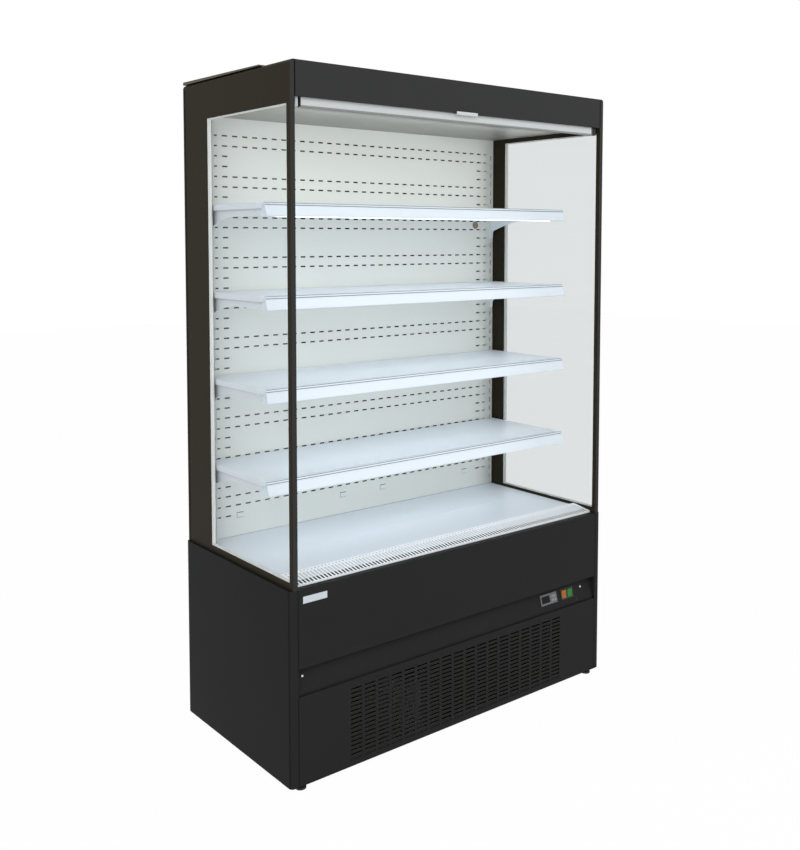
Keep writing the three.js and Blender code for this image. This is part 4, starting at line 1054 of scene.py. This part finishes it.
deck_shade_line = (0.0012, 0.0016)
white_paint = painted("white powder coat", (228, 235, 241), 0.38, relief=0.00002, specular=0.4, clouding=0.03)
joint_shade_grey = painted("grey painted shade line", (184, 188, 192), 0.6, relief=0.00002)
eased("deck_pan", "folded", white_paint, 0.0008)
low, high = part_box("back_panel")
deck_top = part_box("deck_pan")[1].z
# A grey strip of painted shade along the crease where the deck meets the back panel.
bar_of("deck_joint_shade_line", (low.x, low.y - deck_shade_line[0], deck_top), (high.x, low.y, deck_top + deck_shade_line[1]),
       joint_shade_grey)

# ------------------------------------------------------------------ air return grille
# A white sheet in front of the deck, arched to a low crest, punched with a rank of slots and a line of
# small round holes. Its front edge turns down inside the black ledge. Under it, black strips of painted
# shade darken the slots' front ends and the round holes, and a grey baffle lies behind.

grille_slots = 98
grille_pitch = 0.012
grille_slot = (0.0070, 0.0560)
grille_slot_corner = 0.0020
grille_dot = 0.0058
grille_dot_corner = 0.0028
grille_sheet = 0.0012
grille_bend = 0.002
shade_strip_share = (0.02, 0.40)
dot_shade_strip_share = (0.15, 0.90)
baffle_share = 0.42
below = Vector((0, -0.0014))
grille_white = painted("bright white powder coat", (250, 253, 255), 0.4, relief=0.00002, specular=0.4,
                       clouding=0.03)
baffle_grey = painted("grey baffle", (208, 213, 218), 0.5, relief=0.00002)


def drawn(outline, span):
    """A section in (y, z) drawn along X between two places."""
    work = bmesh.new()
    ends = [[work.verts.new((x, y, z)) for y, z in outline] for x in span]
    count = len(outline)
    for i in range(count):
        work.faces.new((ends[0][i], ends[0][(i + 1) % count], ends[1][(i + 1) % count], ends[1][i]))
    work.faces.new(ends[0][::-1])
    work.faces.new(ends[1])
    bmesh.ops.recalc_face_normals(work, faces=work.faces)
    return as_mesh(work, "drawn")


def rounded(line, radius, steps=4):
    """A line of (y, z) points with its inner corners as arcs of this radius."""
    points = [Vector(p) for p in line]
    out = [points[0]]
    for before, at, after in zip(points, points[1:], points[2:]):
        back, on = (before - at), (after - at)
        half = back.angle(on) / 2
        reach = min(radius / math.tan(half), back.length * 0.45, on.length * 0.45)
        back.normalize()
        on.normalize()
        centre = at + (back + on).normalized() * (reach / math.cos(half))
        first, last = at + back * reach - centre, at + on * reach - centre
        sweep = first.angle(last)
        for i in range(steps + 1):
            share = i / steps
            swung = first * math.sin((1 - share) * sweep) + last * math.sin(share * sweep)
            out.append(centre + swung / math.sin(sweep))
    return out + [points[-1]]


def folded(line, thickness, radius):
    """The outline of a bent sheet: a line with rounded corners and its copy to the left of its run."""
    outer = rounded(line, radius)
    sides = [(b - a).normalized().orthogonal() for a, b in zip(outer, outer[1:])]
    inner = []
    for i, point in enumerate(outer):
        before, after = sides[max(i - 1, 0)], sides[min(i, len(sides) - 1)]
        mitre = (before + after).normalized()
        inner.append(point + mitre * (thickness / mitre.dot(before)))
    return [tuple(p) for p in outer + inner[::-1]]


def grille_strip(start, end, **holes):
    """A punched strip of the grille whose top runs from one (y, z) point to another."""
    run = end - start
    strip = from_tree(
        punched_sheet, grille_white, width=high.x - low.x, height=run.length, thickness=grille_sheet,
        columns=grille_slots, rows=1, column_pitch=grille_pitch, **holes)
    middle = (start + end) / 2
    slope = Matrix.Rotation(math.atan2(run.y, run.x), 4, "X")
    down = Matrix.Translation((0, 0, -grille_sheet))
    return strip, grille_white, Matrix.Translation((0, middle.x, middle.y)) @ slope @ down


def under_strip(start, end, thickness):
    """A thin strip under the grille's sheet between two (y, z) points."""
    return drawn(folded([tuple(start), tuple(end)], -thickness, 0.001), (low.x + 0.001, high.x - 0.001))


low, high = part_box("air_return_grille")
lip = Vector((low.y + 0.0008, low.z + 0.0138))
knee = Vector((low.y + 0.058, high.z - 0.0015))
crest = Vector((high.y - 0.010, high.z - 0.0003))
heel = Vector((high.y, high.z - 0.006))
span = (low.x, high.x)
front_line = [(low.y, low.z), (low.y, low.z + 0.0130), tuple(lip)]
heel_line = [tuple(crest), tuple(heel), (high.y, low.z + 0.0065)]
slots = grille_strip(
    lip, knee, hole_width=grille_slot[0], hole_height=grille_slot[1], corner_radius=grille_slot_corner)
dots = grille_strip(
    knee, crest, hole_width=grille_dot, hole_height=grille_dot, corner_radius=grille_dot_corner)
folds = [(drawn(folded(line, -grille_sheet, grille_bend), span), grille_white)
         for line in (front_line, heel_line)]
fitted("air_grille_punched", joined(slots, dots, *folds), "cabinet", ["air_return_grille"])
# Black strips under the sheet are painted shade in the slots' front ends and the round holes.
slot_shade_strip = under_strip(*(lip.lerp(knee, share) + below for share in shade_strip_share), 0.0012)
dot_shade_strip = under_strip(*(knee.lerp(crest, share) + below for share in dot_shade_strip_share), 0.0012)
shade_strips = joined((slot_shade_strip, sealant_and_shade_black), (dot_shade_strip, sealant_and_shade_black))
fitted("air_grille_shade_strips", shade_strips, "cabinet", material=sealant_and_shade_black)
baffle = under_strip(lip.lerp(knee, baffle_share) + 1.3 * below, knee + 1.3 * below, 0.001)
fitted("air_grille_baffle", baffle, "cabinet", material=baffle_grey)

# ------------------------------------------------------------------ shelves
# Four white steel shelves on a pair of pressed brackets each. A plastic price rail clips along the
# front: a bent section whose two lips hold a card strip. Grey strips at its upper lip and top edge are
# painted shade lines.

rail_wall = 0.002
rail_bend = 0.0022
rail_lip = 0.0035
rail_line = 0.0020
rail_slot_top = 0.0062
lip_depths = (0.0008, 0.0018)
rail_white = painted("white rail plastic", (232, 242, 250), 0.38, relief=0.00001, specular=0.4, clouding=0.02)
card_white = painted("card strip", (236, 245, 253), 0.5, relief=0.00001, specular=0.3, clouding=0.02)
rail_shade_grey = painted("grey painted shade line on the rail", (128, 136, 143), 0.4, relief=0.00001, specular=0.3, clouding=0.02)


def rail_strip(start, end, near, far):
    """A flat strip up the rail's face between two of its points, from one depth over it to another."""
    out = Vector((-up.y, up.x))
    corners = [start + out * near, end + out * near, end + out * far, start + out * far]
    return drawn([tuple(corner) for corner in corners], span)


for shelf in ("shelf_1", "shelf_2", "shelf_3", "shelf_4"):
    eased(f"{shelf}_tray", "folded", white_paint, 0.0012, 3)
    for side in ("left", "right"):
        eased(f"{shelf}_bracket_{side}", "pressed", white_paint, 0.0003)
    low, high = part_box(f"{shelf}_price_rail")
    span = (low.x, high.x)
    line = [(high.y, low.z), (high.y - 0.0137, high.z), (low.y + 0.0135, high.z), (low.y, low.z)]
    top, foot = Vector(line[2]), Vector(line[3])
    up = (top - foot).normalized()
    slot_top = top - up * rail_slot_top
    whites = [
        drawn(folded(line, rail_wall, rail_bend), span), rail_strip(foot, foot + up * rail_lip, *lip_depths),
        rail_strip(foot, foot + up * 0.001, 0.0, 0.0009),
        rail_strip(slot_top, top - up * rail_line, 0.0, 0.0012),
    ]
    # The grey strips are painted shade lines along the upper lip and the top edge.
    shade_lines = [rail_strip(slot_top - up * rail_line, slot_top, *lip_depths),
             rail_strip(top - up * rail_line, top, 0.0, 0.0010)]
    rail = joined(*((part, rail_white) for part in whites), *((part, rail_shade_grey) for part in shade_lines))
    fitted(f"{shelf}_rail_extruded", rail, shelf, [f"{shelf}_price_rail"])
    card = rail_strip(foot + up * 0.0012, top - up * 0.0064, 0.0001, 0.0006)
    fitted(f"{shelf}_card_strip", card, shelf, material=card_white)

# ------------------------------------------------------------------ night blind
# A roller blind in the canopy: a white steel cassette, a roll of grey coated cloth on a tube, and an
# extruded white bar with a moulded handle that pulls the cloth down to the grille. A grey strip of
# painted shade runs under the bar, which has black end caps and runs between two guides.

cloth_grey = tint(205, 209, 209)
weave_pitch = 0.0011
roll_end, tube_end = 0.574, 0.582
roll_radius, core_radius, pin_radius = 0.018, 0.014, 0.004
roll_softening = 0.001
cloth_columns, cloth_rows = 60, 40
guide_gap, guide_reach = 0.005, 0.014
bar_finish = painted("white bar lacquer", (196, 201, 200), 0.38, relief=0.00001, clouding=0.03)
bar_shade_grey = painted("grey painted shade strip", (132, 134, 133), 0.5, relief=0.00002)
eased("blind_cassette", "folded", bar_finish)


def woven_cloth():
    """Coated blind cloth: a fine plain weave across and down, with slight cloudiness."""
    material = bpy.data.materials.new("coated blind cloth")
    material.use_nodes = True
    tree = material.node_tree
    surface = tree.nodes["Principled BSDF"]
    surface.inputs["Sheen Weight"].default_value = 0.2
    surface.inputs["Roughness"].default_value = 0.75
    place = wired(tree, "ShaderNodeTexCoord").outputs["Object"]
    across, down = (
        wired(tree, "ShaderNodeTexWave", {"Vector": place, "Scale": 0.32 / weave_pitch}, bands_direction=axis)
        for axis in ("X", "Z"))
    weave = maths(tree, "MULTIPLY", across.outputs[1], down.outputs[1])
    cloud = flow(tree, "ShaderNodeTexNoise", {"Vector": place, "Scale": 9.0})
    tone = maths(tree, "MULTIPLY_ADD", cloud, 0.12, 0.94)
    bump = flow(tree, "ShaderNodeBump", {"Height": weave, "Distance": 0.0001})
    tree.links.new(toned(tree, cloth_grey[:3], tone), surface.inputs["Base Color"])
    tree.links.new(bump, surface.inputs["Normal"])
    return material


cloth = woven_cloth()
low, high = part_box("blind_roller")
roll_axis = lying((low.y + high.y) / 2, (low.z + high.z) / 2)
soft_end = roll_end - roll_softening
roll = turned([
    (0, -roll_end), (roll_radius - 0.0008, -roll_end), (roll_radius, -soft_end), (roll_radius, soft_end),
    (roll_radius - 0.0008, roll_end), (0, roll_end),
], 48)
tube = rod(core_radius, -tube_end, tube_end, 32)
pins = rod(pin_radius, low.x, high.x, 16)
mesh = joined((roll, cloth, roll_axis), (tube, galvanised, roll_axis), (pins, galvanised, roll_axis))
fitted("blind_roll_wound", mesh, "blind_roll", ["blind_roller"])

low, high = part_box("blind_cloth")
width, drop = high.x - low.x, high.z - low.z
work = bmesh.new()
bmesh.ops.create_grid(work, x_segments=cloth_columns, y_segments=cloth_rows, size=0.5)
for vertex in work.verts:
    x, z = vertex.co.x * width, vertex.co.y * drop
    vertex.co = Vector((x, (low.y + high.y) / 2, (low.z + high.z) / 2 + z))
hanging = fitted("blind_cloth_hanging", as_mesh(work, "cloth"), None, ["blind_cloth"], cloth)
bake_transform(hanging)

eased("blind_pull_bar", "extruded", bar_finish, 0.0008, 3)
low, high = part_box("blind_pull_bar")
# A grey strip along the bar's underside is painted shade.
shade_strip_low = (low.x + 0.003, high.y - 0.0154, low.z - 0.0002)
shade_strip_high = (high.x - 0.003, high.y - 0.001, low.z + 0.0042)
bar_of("blind_bar_shade_strip", shade_strip_low, shade_strip_high, bar_shade_grey, body="blind_bar", edge=0.0004)
bar_ends = (("left", -1, 0.0028, bar_finish), ("right", 1, 0.0095, black_plastic))
for side, turn, cap_width, guide_finish in bar_ends:
    near, far = sorted((turn * (high.x - cap_width), turn * high.x))
    bar_of(f"blind_bar_cap_{side}", (near, high.y - 0.0155, low.z), (far, high.y, high.z), black_plastic,
           body="blind_bar", edge=0.0004)
    near, far = sorted((turn * (high.x + guide_gap), turn * (high.x + guide_reach)))
    bar_of(f"blind_bar_guide_{side}", (near, high.y - 0.014, low.z), (far, high.y - 0.001, high.z),
           guide_finish, edge=0.0008)

low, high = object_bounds()
